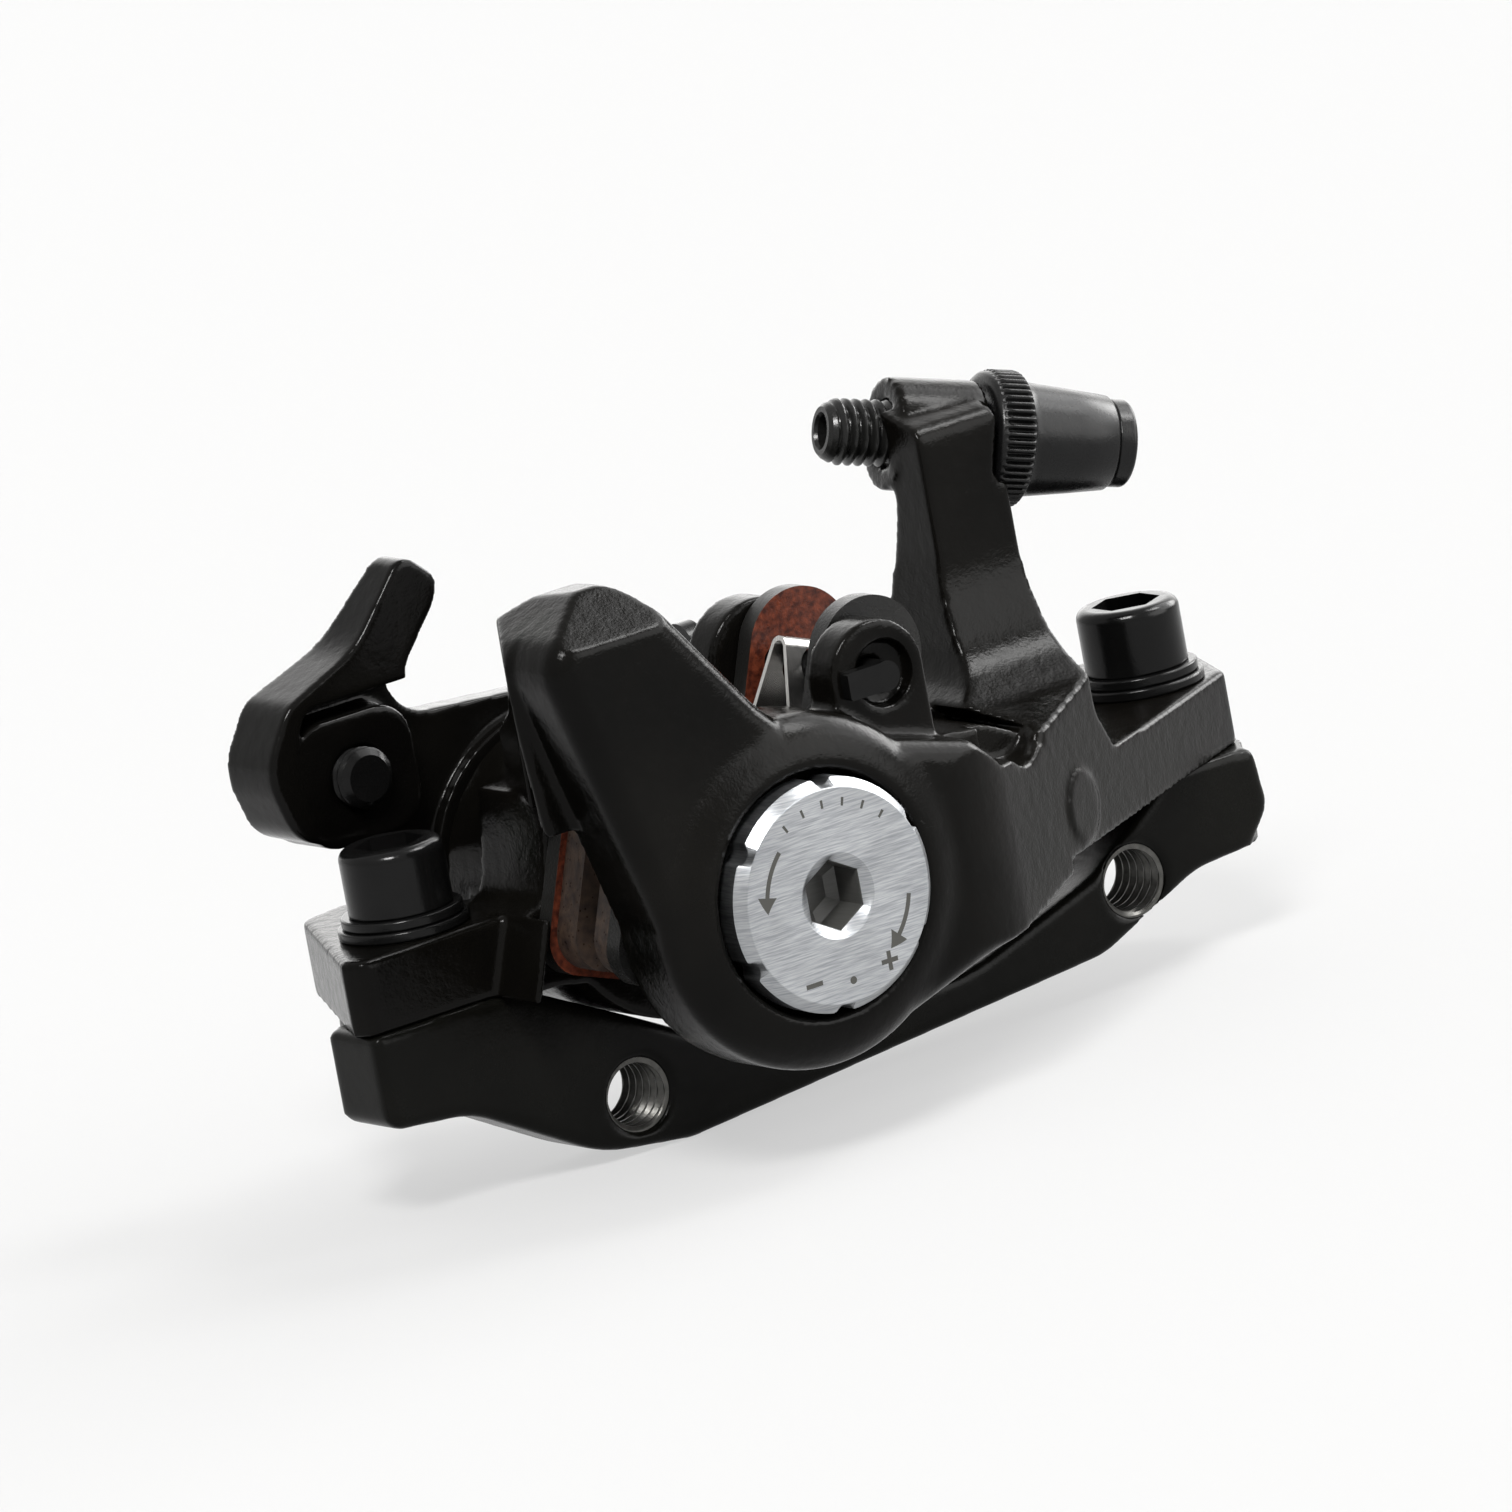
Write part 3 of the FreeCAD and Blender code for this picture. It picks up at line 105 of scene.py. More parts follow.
def build_paint_skin():
    """Black paint over a forging: broad clouds of tone, orange peel, fine grain and a few specks of dust."""
    group, given, result = new_group(
        "paint_skin",
        {"Dark": (0.003, 0.003, 0.0028, 1), "Light": (0.006, 0.0058, 0.0052, 1), "Peel": 1.0, "Grain": 1.0,
         "Dust": 1.0, "Gloss": 0.25},
        {"Color": "NodeSocketColor", "Roughness": "NodeSocketFloat", "Height": "NodeSocketFloat"})
    place = add_node(group, "ShaderNodeTexCoord")
    at = {"Vector": (place, "Object")}
    clouds = add_node(group, "ShaderNodeTexNoise", at, {"Scale": 70.0, "Detail": 3.0})
    peel = add_node(group, "ShaderNodeTexNoise", at, {"Scale": 900.0, "Detail": 2.0})
    grain = add_node(group, "ShaderNodeTexNoise", at, {"Scale": 4200.0, "Detail": 3.0, "Roughness": 0.6})
    specks = add_node(group, "ShaderNodeTexVoronoi", at, {"Scale": 420.0, "Randomness": 1.0})
    chance = add_node(group, "ShaderNodeMath", {0: (specks, "Color")}, {1: 0.93}, operation="GREATER_THAN")
    near = add_node(group, "ShaderNodeMath", {0: (specks, "Distance")}, {1: 0.055}, operation="LESS_THAN")
    speck = add_node(group, "ShaderNodeMath", {0: (chance, 0), 1: (near, 0)}, operation="MULTIPLY")
    dusty = add_node(group, "ShaderNodeMath", {0: (speck, 0), 1: (given, "Dust")}, operation="MULTIPLY")
    cloud = add_node(group, "ShaderNodeMapRange", {"Value": (clouds, "Fac")}, {"From Min": 0.35, "From Max": 0.68})
    tone = mixed_colour(group, cloud.outputs["Result"], given.outputs["Dark"], given.outputs["Light"])
    colour = mixed_colour(group, dusty.outputs[0], tone, (0.30, 0.29, 0.27, 1))
    group.links.new(colour, result.inputs["Color"])
    spread = add_node(group, "ShaderNodeMapRange", {"Value": (peel, "Fac")},
                      {"From Min": 0.3, "From Max": 0.7, "To Min": -0.03, "To Max": 0.05})
    rough = add_node(group, "ShaderNodeMath", {0: (spread, "Result"), 1: (given, "Gloss")}, operation="ADD")
    group.links.new(rough.outputs[0], result.inputs["Roughness"])
    low = add_node(group, "ShaderNodeMath", {0: (peel, "Fac"), 1: (given, "Peel")}, operation="MULTIPLY")
    fine = add_node(group, "ShaderNodeMath", {0: (grain, "Fac"), 1: (given, "Grain")}, operation="MULTIPLY")
    both = add_node(group, "ShaderNodeMath", {0: (low, 0), 1: (fine, 0)}, operation="ADD")
    height = add_node(group, "ShaderNodeMath", {0: (both, 0), 1: (dusty, 0)}, operation="ADD")
    group.links.new(height.outputs[0], result.inputs["Height"])
    return group


def new_material(name):
    """Material with a Principled BSDF joined to its output."""
    material = bpy.data.materials.new(name)
    material.use_nodes = True
    return material, material.node_tree, material.node_tree.nodes["Principled BSDF"]


def painted(name, dark, light, gloss, peel=1.0, grain=1.0, dust=1.0, depth=0.00003, specular=0.10):
    """Black finish that takes its tone, gloss and relief from the paint skin."""
    material, tree, shader = new_material(name)
    skin = add_node(tree, "ShaderNodeGroup", node_tree=paint_skin)
    for key, amount in {"Dark": (*dark, 1), "Light": (*light, 1), "Gloss": gloss, "Peel": peel, "Grain": grain,
                        "Dust": dust}.items():
        skin.inputs[key].default_value = amount
    bump = add_node(tree, "ShaderNodeBump", {"Height": (skin, "Height")}, {"Strength": 1.0, "Distance": depth})
    tree.links.new(skin.outputs["Color"], shader.inputs["Base Color"])
    tree.links.new(skin.outputs["Roughness"], shader.inputs["Roughness"])
    tree.links.new(bump.outputs["Normal"], shader.inputs["Normal"])
    shader.inputs["Specular IOR Level"].default_value = specular
    return material


def softened(name, node, body, material, voxel, passes, cuts=(), press=None, kept=1.0):
    """Surface of a forged node with every edge softly rounded: a merged copy, cut along slanted planes where the
    forging has a broad chamfer, sampled on an even grid of voxels, relaxed a few times, thinned to the kept share
    of its faces, and last moved by a function of its points that gives small reliefs."""
    mesh = nodes[node].data.copy()
    shape = bmesh.new()
    shape.from_mesh(mesh)
    bmesh.ops.remove_doubles(shape, verts=shape.verts, dist=1e-6)
    for point, normal in cuts:
        everything = shape.verts[:] + shape.edges[:] + shape.faces[:]
        bmesh.ops.bisect_plane(shape, geom=everything, plane_co=point, plane_no=normal, clear_outer=True)
        bmesh.ops.holes_fill(shape, edges=[edge for edge in shape.edges if edge.is_boundary])
    shape.to_mesh(mesh)
    shape.free()
    blank = bpy.data.objects.new(name + "_blank", mesh)
    bpy.context.scene.collection.objects.link(blank)
    remesh = blank.modifiers.new("forging_grid", "REMESH")
    remesh.mode = "VOXEL"
    remesh.voxel_size = voxel
    relax = blank.modifiers.new("soft_edges", "SMOOTH")
    relax.factor = 0.5
    relax.iterations = passes
    if kept < 1:
        blank.modifiers.new("fewer_faces", "DECIMATE").ratio = kept
    formed = bpy.data.meshes.new_from_object(blank.evaluated_get(bpy.context.evaluated_depsgraph_get()))
    bpy.data.objects.remove(blank)
    if press:
        points = np.empty(len(formed.vertices) * 3)
        formed.vertices.foreach_get("co", points)
        points = press(points.reshape(-1, 3))
        formed.vertices.foreach_set("co", points.ravel())
    formed.materials.clear()
    formed.materials.append(material)
    formed.shade_smooth()
    piece = bpy.data.objects.new(name, formed)
    bpy.context.scene.collection.objects.link(piece)
    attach(piece, body)
    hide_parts(node)
    return piece


def ring_shell(name, rows, material, body, loop=False, first=None, last=None):
    """Surface of rows of points, each row a closed ring, every ring joined to the next. With loop the last ring
    joins the first, and a first or last centre point closes an end with a fan."""
    count, around = rows.shape[:2]
    points = rows.reshape(-1, 3)
    a = np.arange(count if loop else count - 1)[:, None] * around
    b = (a + around) % (count * around)
    i = np.arange(around)[None, :]
    j = (i + 1) % around
    faces = np.stack([a + i, a + j, b + j, b + i], axis=-1).reshape(-1, 4).tolist()
    for centre, row in ((first, 0), (last, count - 1)):
        if centre is not None:
            tip = len(points)
            points = np.vstack([points, centre])
            start = row * around
            faces += [[tip, start + k, start + (k + 1) % around] for k in range(around)]
    mesh = bpy.data.meshes.new(name)
    mesh.from_pydata(points.tolist(), [], faces)
    shape = bmesh.new()
    shape.from_mesh(mesh)
    bmesh.ops.recalc_face_normals(shape, faces=shape.faces)
    shape.to_mesh(mesh)
    shape.free()
    mesh.materials.append(material)
    piece = bpy.data.objects.new(name, mesh)
    bpy.context.scene.collection.objects.link(piece)
    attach(piece, body)
    return piece


def turned_rows(profile, origin, axis, around):
    """Rings round an axis from a profile of radii and levels, where a radius is a number or an array by angle: a
    point is the origin plus the level along the axis plus the radius across it at that angle."""
    radius = np.array([np.broadcast_to(width, around) for width, at in profile])
    level = np.array([at for width, at in profile])[:, None, None]
    line = np.array(axis, float)
    line /= np.linalg.norm(line)
    side = np.cross(line, (0.0, 0.0, 1.0) if abs(line[2]) < 0.9 else (1.0, 0.0, 0.0))
    side /= np.linalg.norm(side)
    other = np.cross(line, side)
    turn = np.arange(around) / around * 2 * math.pi
    ring = np.cos(turn)[:, None] * side + np.sin(turn)[:, None] * other
    return np.array(origin, float) + level * line + radius[..., None] * ring


def thread_wave(level, around, pitch):
    """Height of a screw thread from 0 at the root to 1 at the crest: a triangle wave of level over pitch less the
    share of a turn, with crest and root cut flat."""
    share = np.arange(around)[None, :] / around
    phase = (level / pitch - share) % 1.0
    return np.clip(1.35 * (1 - np.abs(2 * phase - 1)) - 0.12, 0, 1)


paint_skin = build_paint_skin()
bracket_paint = painted("bracket_paint", (0.0014, 0.0014, 0.0011), (0.0034, 0.0033, 0.0027), 0.22, peel=0.6,
                        grain=0.5, specular=0.08)
bracket = softened("bracket_forging", "adapter_bracket", "frame_side", bracket_paint, voxel=0.00032, passes=3)

cut_metal, tree, shader = new_material("tapped_bore")
turning = add_node(tree, "ShaderNodeTexCoord")
grit = add_node(tree, "ShaderNodeTexNoise", {"Vector": (turning, "Object")}, {"Scale": 1500.0, "Detail": 3.0})
tint = add_node(tree, "ShaderNodeValToRGB", {"Fac": (grit, "Fac")})
tint.color_ramp.elements[0].color = (0.02, 0.02, 0.019, 1)
tint.color_ramp.elements[1].color = (0.12, 0.118, 0.11, 1)
tree.links.new(tint.outputs["Color"], shader.inputs["Base Color"])
shader.inputs["Metallic"].default_value = 0.8
shader.inputs["Roughness"].default_value = 0.32

MOUNT_PITCH = 0.001
MOUNT_WALL = 0.00305
MOUNT_ROOT = 0.00298
MOUNT_DEPTH = 0.00038
MOUNT_BACK = -0.0001
MOUNT_FRONT = -0.0066
MOUNT_COLUMNS = 72
MOUNT_LEVELS = 66
for side, mount_x, mount_z in (("left", -0.02543, -0.0019), ("right", 0.02543, 0.0019)):
    level = np.linspace(MOUNT_FRONT, MOUNT_BACK, MOUNT_LEVELS)[:, None]
    inner = MOUNT_ROOT - MOUNT_DEPTH * thread_wave(level, MOUNT_COLUMNS, MOUNT_PITCH)
    profile = [*zip(inner, level[:, 0]), (MOUNT_WALL, MOUNT_BACK), (MOUNT_WALL, MOUNT_FRONT)]
    rows = turned_rows(profile, (mount_x, 0, mount_z), (0, 1, 0), MOUNT_COLUMNS)
    thread = ring_shell("mount_thread_" + side, rows, cut_metal, "frame_side", loop=True)

# Caliper body: one aluminium forging with head, bridge, rear housing, two ears and the cable stop, shot blasted
# and painted gloss black all over, then bored and faced where the adjuster and the mechanism go in.
body_paint = painted("body_paint", (0.0012, 0.0011, 0.0009), (0.0032, 0.0029, 0.0024), 0.15, peel=1.1, grain=0.6,
                     depth=0.00004, specular=0.085)
# The head's recess lies on the axis of the adjuster
ADJUSTER_X = -0.0198
ADJUSTER_Z = 0.0156
COLLAR_RISE = 0.0009
COLLAR_FLAT = 0.0105
COLLAR_FALL = 0.0038
COLLAR_INSIDE = 0.0093
COLLAR_START = 0.0289
COLLAR_BLEND = 0.0010


def collar(points):
    """Raise a low collar round the adjuster's recess: full height out to 10.5 mm from its axis, then a smooth
    cosine fall to the head's face at 14.3 mm, and the recess's wall is drawn out with it. Points inside the
    recess and those well behind the head's face stay."""
    away = np.hypot(points[:, 0] - ADJUSTER_X, points[:, 2] - ADJUSTER_Z)
    fall = 0.5 + 0.5 * np.cos(math.pi * np.clip((away - COLLAR_FLAT) / COLLAR_FALL, 0, 1))
    share = np.clip((-points[:, 1] - COLLAR_START) / COLLAR_BLEND, 0, 1) * (away > COLLAR_INSIDE)
    moved = points.copy()
    moved[:, 1] -= COLLAR_RISE * fall * share
    return moved


# Point and normal of the slanted facet on top of the head
TOWER_CUT = ((0, -0.0300, 0.0403), (0, -0.60, 0.80))
forging = softened("caliper_forging", "caliper_body", "frame_side", body_paint, voxel=0.00031, passes=4,
                   cuts=[TOWER_CUT], press=collar, kept=0.62)

# Fixing bolts and their washers: steel screws with cylindrical socket heads, black oxide and oil, each on a
# stack of two pressed washers. The lever's screw, its washer and the clamp washer have the same finish.


def dress(name, material):
    """Give a carried-over node its material."""
    mesh = nodes[name].data
    mesh.materials.clear()
    mesh.materials.append(material)


bolt_black = painted("bolt_black", (0.002, 0.002, 0.002), (0.005, 0.005, 0.005), 0.18, peel=0.25, grain=0.4, dust=0.6,
                     specular=0.16)
for name in ("fixing_bolt_left", "fixing_bolt_right", "lower_washer_left", "lower_washer_right",
             "upper_washer_left", "upper_washer_right", "lever_bolt", "lever_washer", "clamp_washer"):
    dress(name, bolt_black)

# Pad adjuster: a turned aluminium disc with a ground face on a threaded plug, held by a rubber ring in the
# body. Its face carries two engraved arrows, a plus, a minus, a dot and plain ticks.


def build_adjuster_face():
    """Ground aluminium with engraved marks: masks of the radius and angle round the disc's axis draw the arrows
    and ticks, and masks of x and z draw the signs. They are dark and lie deeper than the face, and only on the
    front face. The depth of the hexagon socket is drawn dark the same way, as painted shade."""
    ground, tree, shader = new_material("ground_aluminium")
    place = add_node(tree, "ShaderNodeTexCoord")
    centred = add_node(tree, "ShaderNodeMapping", {"Vector": (place, "Object")})
    centred.inputs["Location"].default_value = (-ADJUSTER_X, 0, -ADJUSTER_Z)
    streaks_at = add_node(tree, "ShaderNodeMapping", {"Vector": (place, "Object")})
    streaks_at.inputs["Rotation"].default_value = (0, math.radians(-16), 0)
    streaks_at.inputs["Scale"].default_value = (500, 500, 9000)
    streaks = add_node(tree, "ShaderNodeTexNoise", {"Vector": (streaks_at, "Vector")}, {"Scale": 1.0, "Detail": 3.0})
    blotch = add_node(tree, "ShaderNodeTexNoise", {"Vector": (place, "Object")}, {"Scale": 260.0, "Detail": 2.0})
    tone = add_node(tree, "ShaderNodeValToRGB", {"Fac": (streaks, "Fac")})
    tone.color_ramp.elements[0].position = 0.3
    tone.color_ramp.elements[1].position = 0.7
    tone.color_ramp.elements[0].color = (0.24, 0.25, 0.265, 1)
    tone.color_ramp.elements[1].color = (0.42, 0.43, 0.44, 1)
    parts = add_node(tree, "ShaderNodeSeparateXYZ", {"Vector": (centred, "Vector")})

    def maths(operation, first, second=None):
        """Output of one maths node on outputs or fixed numbers."""
        node = add_node(tree, "ShaderNodeMath", operation=operation)
        for socket, given in zip(node.inputs, (first, second)):
            if given is None:
                continue
            if isinstance(given, (int, float)):
                socket.default_value = given
            else:
                tree.links.new(given, socket)
        return node.outputs[0]

    x, y, z = parts.outputs[0], parts.outputs[1], parts.outputs[2]
    radius = maths("SQRT", maths("ADD", maths("MULTIPLY", x, x), maths("MULTIPLY", z, z)))
    angle = maths("ARCTAN2", z, x)

    def between(given, low, high):
        """Mask of 1 where the value lies between low and high."""
        return maths("MULTIPLY", maths("GREATER_THAN", given, low), maths("LESS_THAN", given, high))

    def either(first, second):
        """Mask of 1 where one of two masks is 1."""
        return maths("MAXIMUM", first, second)

    shaft_left = maths("MULTIPLY", between(radius, 0.0066, 0.0070), between(angle, 2.34, 2.92))
    shaft_right = maths("MULTIPLY", between(radius, 0.0066, 0.0070), between(angle, -0.76, -0.24))
    # Arrow heads narrow from both sides towards their tips along the ring
    along_left = maths("SUBTRACT", 3.10, angle)
    along_right = maths("ADD", angle, 0.94)
    away = maths("ABSOLUTE", maths("ADD", radius, -0.0068))
    head_left = maths("MULTIPLY", maths("LESS_THAN", away, maths("MULTIPLY", along_left, 0.0045)),
                      between(angle, 2.90, 3.10))
    head_right = maths("MULTIPLY", maths("LESS_THAN", away, maths("MULTIPLY", along_right, 0.0045)),
                       between(angle, -0.94, -0.74))
    marks = either(either(shaft_left, shaft_right), either(head_left, head_right))
    # Minus and plus below, a dot between them and short ticks above
    minus = maths("MULTIPLY", between(x, -0.0045, -0.0029), between(z, -0.0066, -0.0062))
    plus_across = maths("MULTIPLY", between(x, 0.0029, 0.0045), between(z, -0.0066, -0.0062))
    plus_up = maths("MULTIPLY", between(x, 0.0035, 0.0039), between(z, -0.0072, -0.0056))
    dot_away = maths("ADD", maths("MULTIPLY", x, x), maths("POWER", maths("ADD", z, 0.0070), 2.0))
    dot = maths("LESS_THAN", dot_away, 0.00032 ** 2)
    marks = either(marks, either(either(minus, dot), either(plus_across, plus_up)))
    ticks = maths("MULTIPLY", maths("GREATER_THAN", maths("COSINE", maths("MULTIPLY", angle, 24.0)), 0.93),
                  maths("MULTIPLY", between(radius, 0.0072, 0.0079), between(angle, 0.75, 2.20)))
    marks = either(marks, ticks)
    front = maths("LESS_THAN", y, -0.0325)
    marks = maths("MULTIPLY", marks, front)
    # Painted shade darkens the depth of the hexagon socket below its chamfer
    painted_socket_shade = maths("MULTIPLY", maths("LESS_THAN", radius, 0.0030), maths("GREATER_THAN", y, -0.03225))
    marks = maths("MAXIMUM", marks, maths("MULTIPLY", painted_socket_shade, 0.93))
    # From here the marks also carry the socket's painted shade: dark, less metallic and lower like the engravings
    tinted = mixed_colour(tree, marks, tone.outputs["Color"], (0.035, 0.034, 0.03, 1))
    tree.links.new(tinted, shader.inputs["Base Color"])
    metallic = maths("SUBTRACT", 1.0, maths("MULTIPLY", marks, 0.8))
    tree.links.new(metallic, shader.inputs["Metallic"])
    rough = add_node(tree, "ShaderNodeMapRange", {"Value": (blotch, "Fac")},
                     {"From Min": 0.3, "From Max": 0.7, "To Min": 0.30, "To Max": 0.42})
    tree.links.new(rough.outputs["Result"], shader.inputs["Roughness"])
    relief = maths("SUBTRACT", maths("MULTIPLY", streaks.outputs["Fac"], 0.12), marks)
    bump = add_node(tree, "ShaderNodeBump", values={"Strength": 0.6, "Distance": 0.00008})
    tree.links.new(relief, bump.inputs["Height"])
    tree.links.new(bump.outputs["Normal"], shader.inputs["Normal"])
    return ground


def hexagon(flats, around):
    """Distance from the axis to a hexagon's wall at each angle: half the flats over the cosine of the angle from
    the nearest flat's middle."""
    turn = np.arange(around) / around * 2 * math.pi
    return flats / 2 / np.cos((turn + math.pi / 6) % (math.pi / 3) - math.pi / 6)


DISC_COLUMNS = 360
DISC_FRONT = 0.0328
NOTCH_CENTRE = 0.00985
NOTCH_RADIUS = 0.00095
NOTCH_TURN = math.radians(25)


def notched(radius):
    """A ring's radius at each angle, cut back to the wall of six round notches centred outside the rim: where the
    ray passes through a notch, its near wall lies at c cos t - sqrt(r^2 - (c sin t)^2)."""
    turn = np.arange(DISC_COLUMNS) / DISC_COLUMNS * 2 * math.pi
    off = (turn - NOTCH_TURN + math.pi / 6) % (math.pi / 3) - math.pi / 6
    reach = NOTCH_RADIUS ** 2 - (NOTCH_CENTRE * np.sin(off)) ** 2
    wall = NOTCH_CENTRE * np.cos(off) - np.sqrt(np.maximum(reach, 0))
    return np.where(reach > 0, np.minimum(radius, wall), radius)


# Rows from the socket's floor to the face, over the bevelled rim and back along the plug
PLUG_BACK = max(vertex.co.y for vertex in nodes["pad_adjuster"].data.vertices)
socket_wall = hexagon(0.005, DISC_COLUMNS)
profile = [
    (socket_wall * 0.6, DISC_FRONT - 0.0042), (socket_wall, DISC_FRONT - 0.0038), (socket_wall, DISC_FRONT - 0.0007),
    (socket_wall * 1.02, DISC_FRONT - 0.00056), (0.00335, DISC_FRONT - 0.00008), (0.0035, DISC_FRONT),
    (0.0036, DISC_FRONT), (0.0070, DISC_FRONT), (0.00868, DISC_FRONT), (0.00876, DISC_FRONT - 0.00003),
    (notched(0.00942), DISC_FRONT - 0.0008), (notched(0.0095), DISC_FRONT - 0.0009),
    (notched(0.0095), DISC_FRONT - 0.0031), (notched(0.0093), DISC_FRONT - 0.0033), (0.0075, DISC_FRONT - 0.0033),
    (0.0075, 0.0004 - PLUG_BACK), (0.0071, -PLUG_BACK)]
rows = turned_rows(profile, (ADJUSTER_X, 0, ADJUSTER_Z), (0, -1, 0), DISC_COLUMNS)
disc = ring_shell("adjuster_disc", rows, build_adjuster_face(), "adjuster",
                  first=(ADJUSTER_X, 0.0042 - DISC_FRONT, ADJUSTER_Z), last=(ADJUSTER_X, PLUG_BACK, ADJUSTER_Z))
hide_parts("pad_adjuster")


def build_grain_skin():
    """Tone of a bare material: a noise, stretched along the axes, scales the tone between a low and a high share
    and is the height of the grain."""
    group, given, result = new_group(
        "grain_skin", {"Tone": (0.5, 0.5, 0.5, 1), "Stretch": (1000.0, 1000.0, 1000.0), "Low": 0.75, "High": 1.3},
        {"Color": "NodeSocketColor", "Height": "NodeSocketFloat"})
    place = add_node(group, "ShaderNodeTexCoord")
    drawn = add_node(group, "ShaderNodeMapping", {"Vector": (place, "Object"), "Scale": (given, "Stretch")})
    grain = add_node(group, "ShaderNodeTexNoise", {"Vector": (drawn, "Vector")}, {"Scale": 1.0, "Detail": 3.0})
    share = add_node(group, "ShaderNodeMapRange",
                     {"Value": (grain, "Fac"), "To Min": (given, "Low"), "To Max": (given, "High")})
    tint = add_node(group, "ShaderNodeVectorMath", {0: (given, "Tone")}, operation="SCALE")
    group.links.new(share.outputs["Result"], tint.inputs["Scale"])
    group.links.new(tint.outputs["Vector"], result.inputs["Color"])
    group.links.new(grain.outputs["Fac"], result.inputs["Height"])
    return group


def grained(name, tone, stretch, low, high, strength, depth):
    """Material that takes its tone and relief from the grain skin."""
    material, tree, shader = new_material(name)
    skin = add_node(tree, "ShaderNodeGroup", node_tree=grain_skin)
    for key, amount in {"Tone": (*tone, 1), "Stretch": stretch, "Low": low, "High": high}.items():
        skin.inputs[key].default_value = amount
    bump = add_node(tree, "ShaderNodeBump", {"Height": (skin, "Height")}, {"Strength": strength, "Distance": depth})
    tree.links.new(skin.outputs["Color"], shader.inputs["Base Color"])
    tree.links.new(bump.outputs["Normal"], shader.inputs["Normal"])
    return material, shader


def moulded(name, tone, roughness):
    """Dull rubber or plastic with a fine even grain."""
    material, shader = grained(name, tone, (1400.0, 1400.0, 1400.0), 0.75, 1.3, strength=0.5, depth=0.00003)
    shader.inputs["Roughness"].default_value = roughness
    return material


grain_skin = build_grain_skin()
rubber = moulded("seal_rubber", (0.012, 0.012, 0.012), 0.6)
dress("adjuster_seal", rubber)

# Brake pads: stamped steel plates, black, each with a block of red-brown friction compound full of metal
# fibres bonded to it, spread apart by a folded strip spring and hung on a split pin.
plate_black = painted("plate_black", (0.004, 0.004, 0.004), (0.010, 0.0097, 0.009), 0.26, peel=0.6, grain=1.0,
                      specular=0.25)
dress("fixed_pad_plate", plate_black)
# The compound's red-brown powder coat also covers the face of the moving plate that the block is bonded to
COAT_FACE = -0.01186
coated = painted("coated_plate", (0.004, 0.004, 0.004), (0.010, 0.0097, 0.009), 0.30, peel=0.6, grain=1.0,
                 specular=0.2)
tree = coated.node_tree
shader = tree.nodes["Principled BSDF"]
place = add_node(tree, "ShaderNodeTexCoord")
level = add_node(tree, "ShaderNodeSeparateXYZ", {"Vector": (place, "Object")})
front = add_node(tree, "ShaderNodeMath", {0: (level, "Y")}, {1: COAT_FACE}, operation="LESS_THAN")
powder = add_node(tree, "ShaderNodeTexNoise", {"Vector": (place, "Object")}, {"Scale": 1600.0, "Detail": 4.0})
rust = add_node(tree, "ShaderNodeValToRGB", {"Fac": (powder, "Fac")})
rust.color_ramp.elements[0].position = 0.35
rust.color_ramp.elements[1].position = 0.70
rust.color_ramp.elements[0].color = (0.022, 0.005, 0.003, 1)
rust.color_ramp.elements[1].color = (0.095, 0.022, 0.010, 1)
paint = shader.inputs["Base Color"].links[0].from_socket
shown = mixed_colour(tree, front.outputs[0], paint, rust.outputs["Color"])
tree.links.new(shown, shader.inputs["Base Color"])
dress("moving_pad_plate", coated)

compound, tree, shader = new_material("friction_compound")
place = add_node(tree, "ShaderNodeTexCoord")
clods = add_node(tree, "ShaderNodeTexNoise", {"Vector": (place, "Object")}, {"Scale": 1100.0, "Detail": 4.0})
fibres = add_node(tree, "ShaderNodeTexVoronoi", {"Vector": (place, "Object")}, {"Scale": 1700.0})
tint = add_node(tree, "ShaderNodeValToRGB", {"Fac": (clods, "Fac")})
tint.color_ramp.elements[0].position = 0.32
tint.color_ramp.elements[1].position = 0.72
tint.color_ramp.elements[0].color = (0.008, 0.004, 0.003, 1)
tint.color_ramp.elements[1].color = (0.035, 0.021, 0.013, 1)
glint = add_node(tree, "ShaderNodeMath", {0: (fibres, "Distance")}, {1: 0.16}, operation="LESS_THAN")
metal = add_node(tree, "ShaderNodeMath", {0: (glint, 0)}, {1: 0.7}, operation="MULTIPLY")
bump = add_node(tree, "ShaderNodeBump", {"Height": (clods, "Fac")}, {"Strength": 0.8, "Distance": 0.0001})
tree.links.new(tint.outputs["Color"], shader.inputs["Base Color"])
tree.links.new(metal.outputs[0], shader.inputs["Metallic"])
tree.links.new(bump.outputs["Normal"], shader.inputs["Normal"])
shader.inputs["Roughness"].default_value = 0.5
for name in ("fixed_pad_friction", "moving_pad_friction"):
    dress(name, compound)


def bright_steel(name, tone, roughness, stretch):
    """Bare steel with drawn or ground streaks."""
    material, shader = grained(name, tone, stretch, 0.7, 1.2, strength=0.3, depth=0.00003)
    shader.inputs["Metallic"].default_value = 1.0
    shader.inputs["Roughness"].default_value = roughness
    return material


# The spring's strip, which the moving pad presses flatter between the plates in use, is a copy of the spring
# node with a mesh of its own
strip_mesh = nodes["pad_spring"].data.copy()
strip_mesh.materials.clear()
strip_mesh.materials.append(bright_steel("strip_steel", (0.66, 0.65, 0.63), 0.25, (900, 5000, 300)))
strip = bpy.data.objects.new("folded_strip", strip_mesh)
bpy.context.scene.collection.objects.link(strip)
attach(strip, "frame_side")
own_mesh(strip)
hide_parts("pad_spring")
dress("retaining_pin", bolt_black)

# Rear mechanism: a turning shaft, a thrust washer and three balls in a cage press the foot on the moving pad,
# all ground steel, with a plastic bush and a rubber lip where the shaft leaves the housing.
ground_steel = bright_steel("ground_steel", (0.56, 0.56, 0.57), 0.28, (1500, 1500, 1500))
for name in ("pressure_foot", "ramp_balls", "actuator_shaft", "thrust_washer"):
    dress(name, ground_steel)
bearing_plastic = moulded("bearing_plastic", (0.42, 0.39, 0.32), 0.5)
for name in ("ball_cage", "shaft_bush"):
    dress(name, bearing_plastic)
dress("dust_seal", rubber)

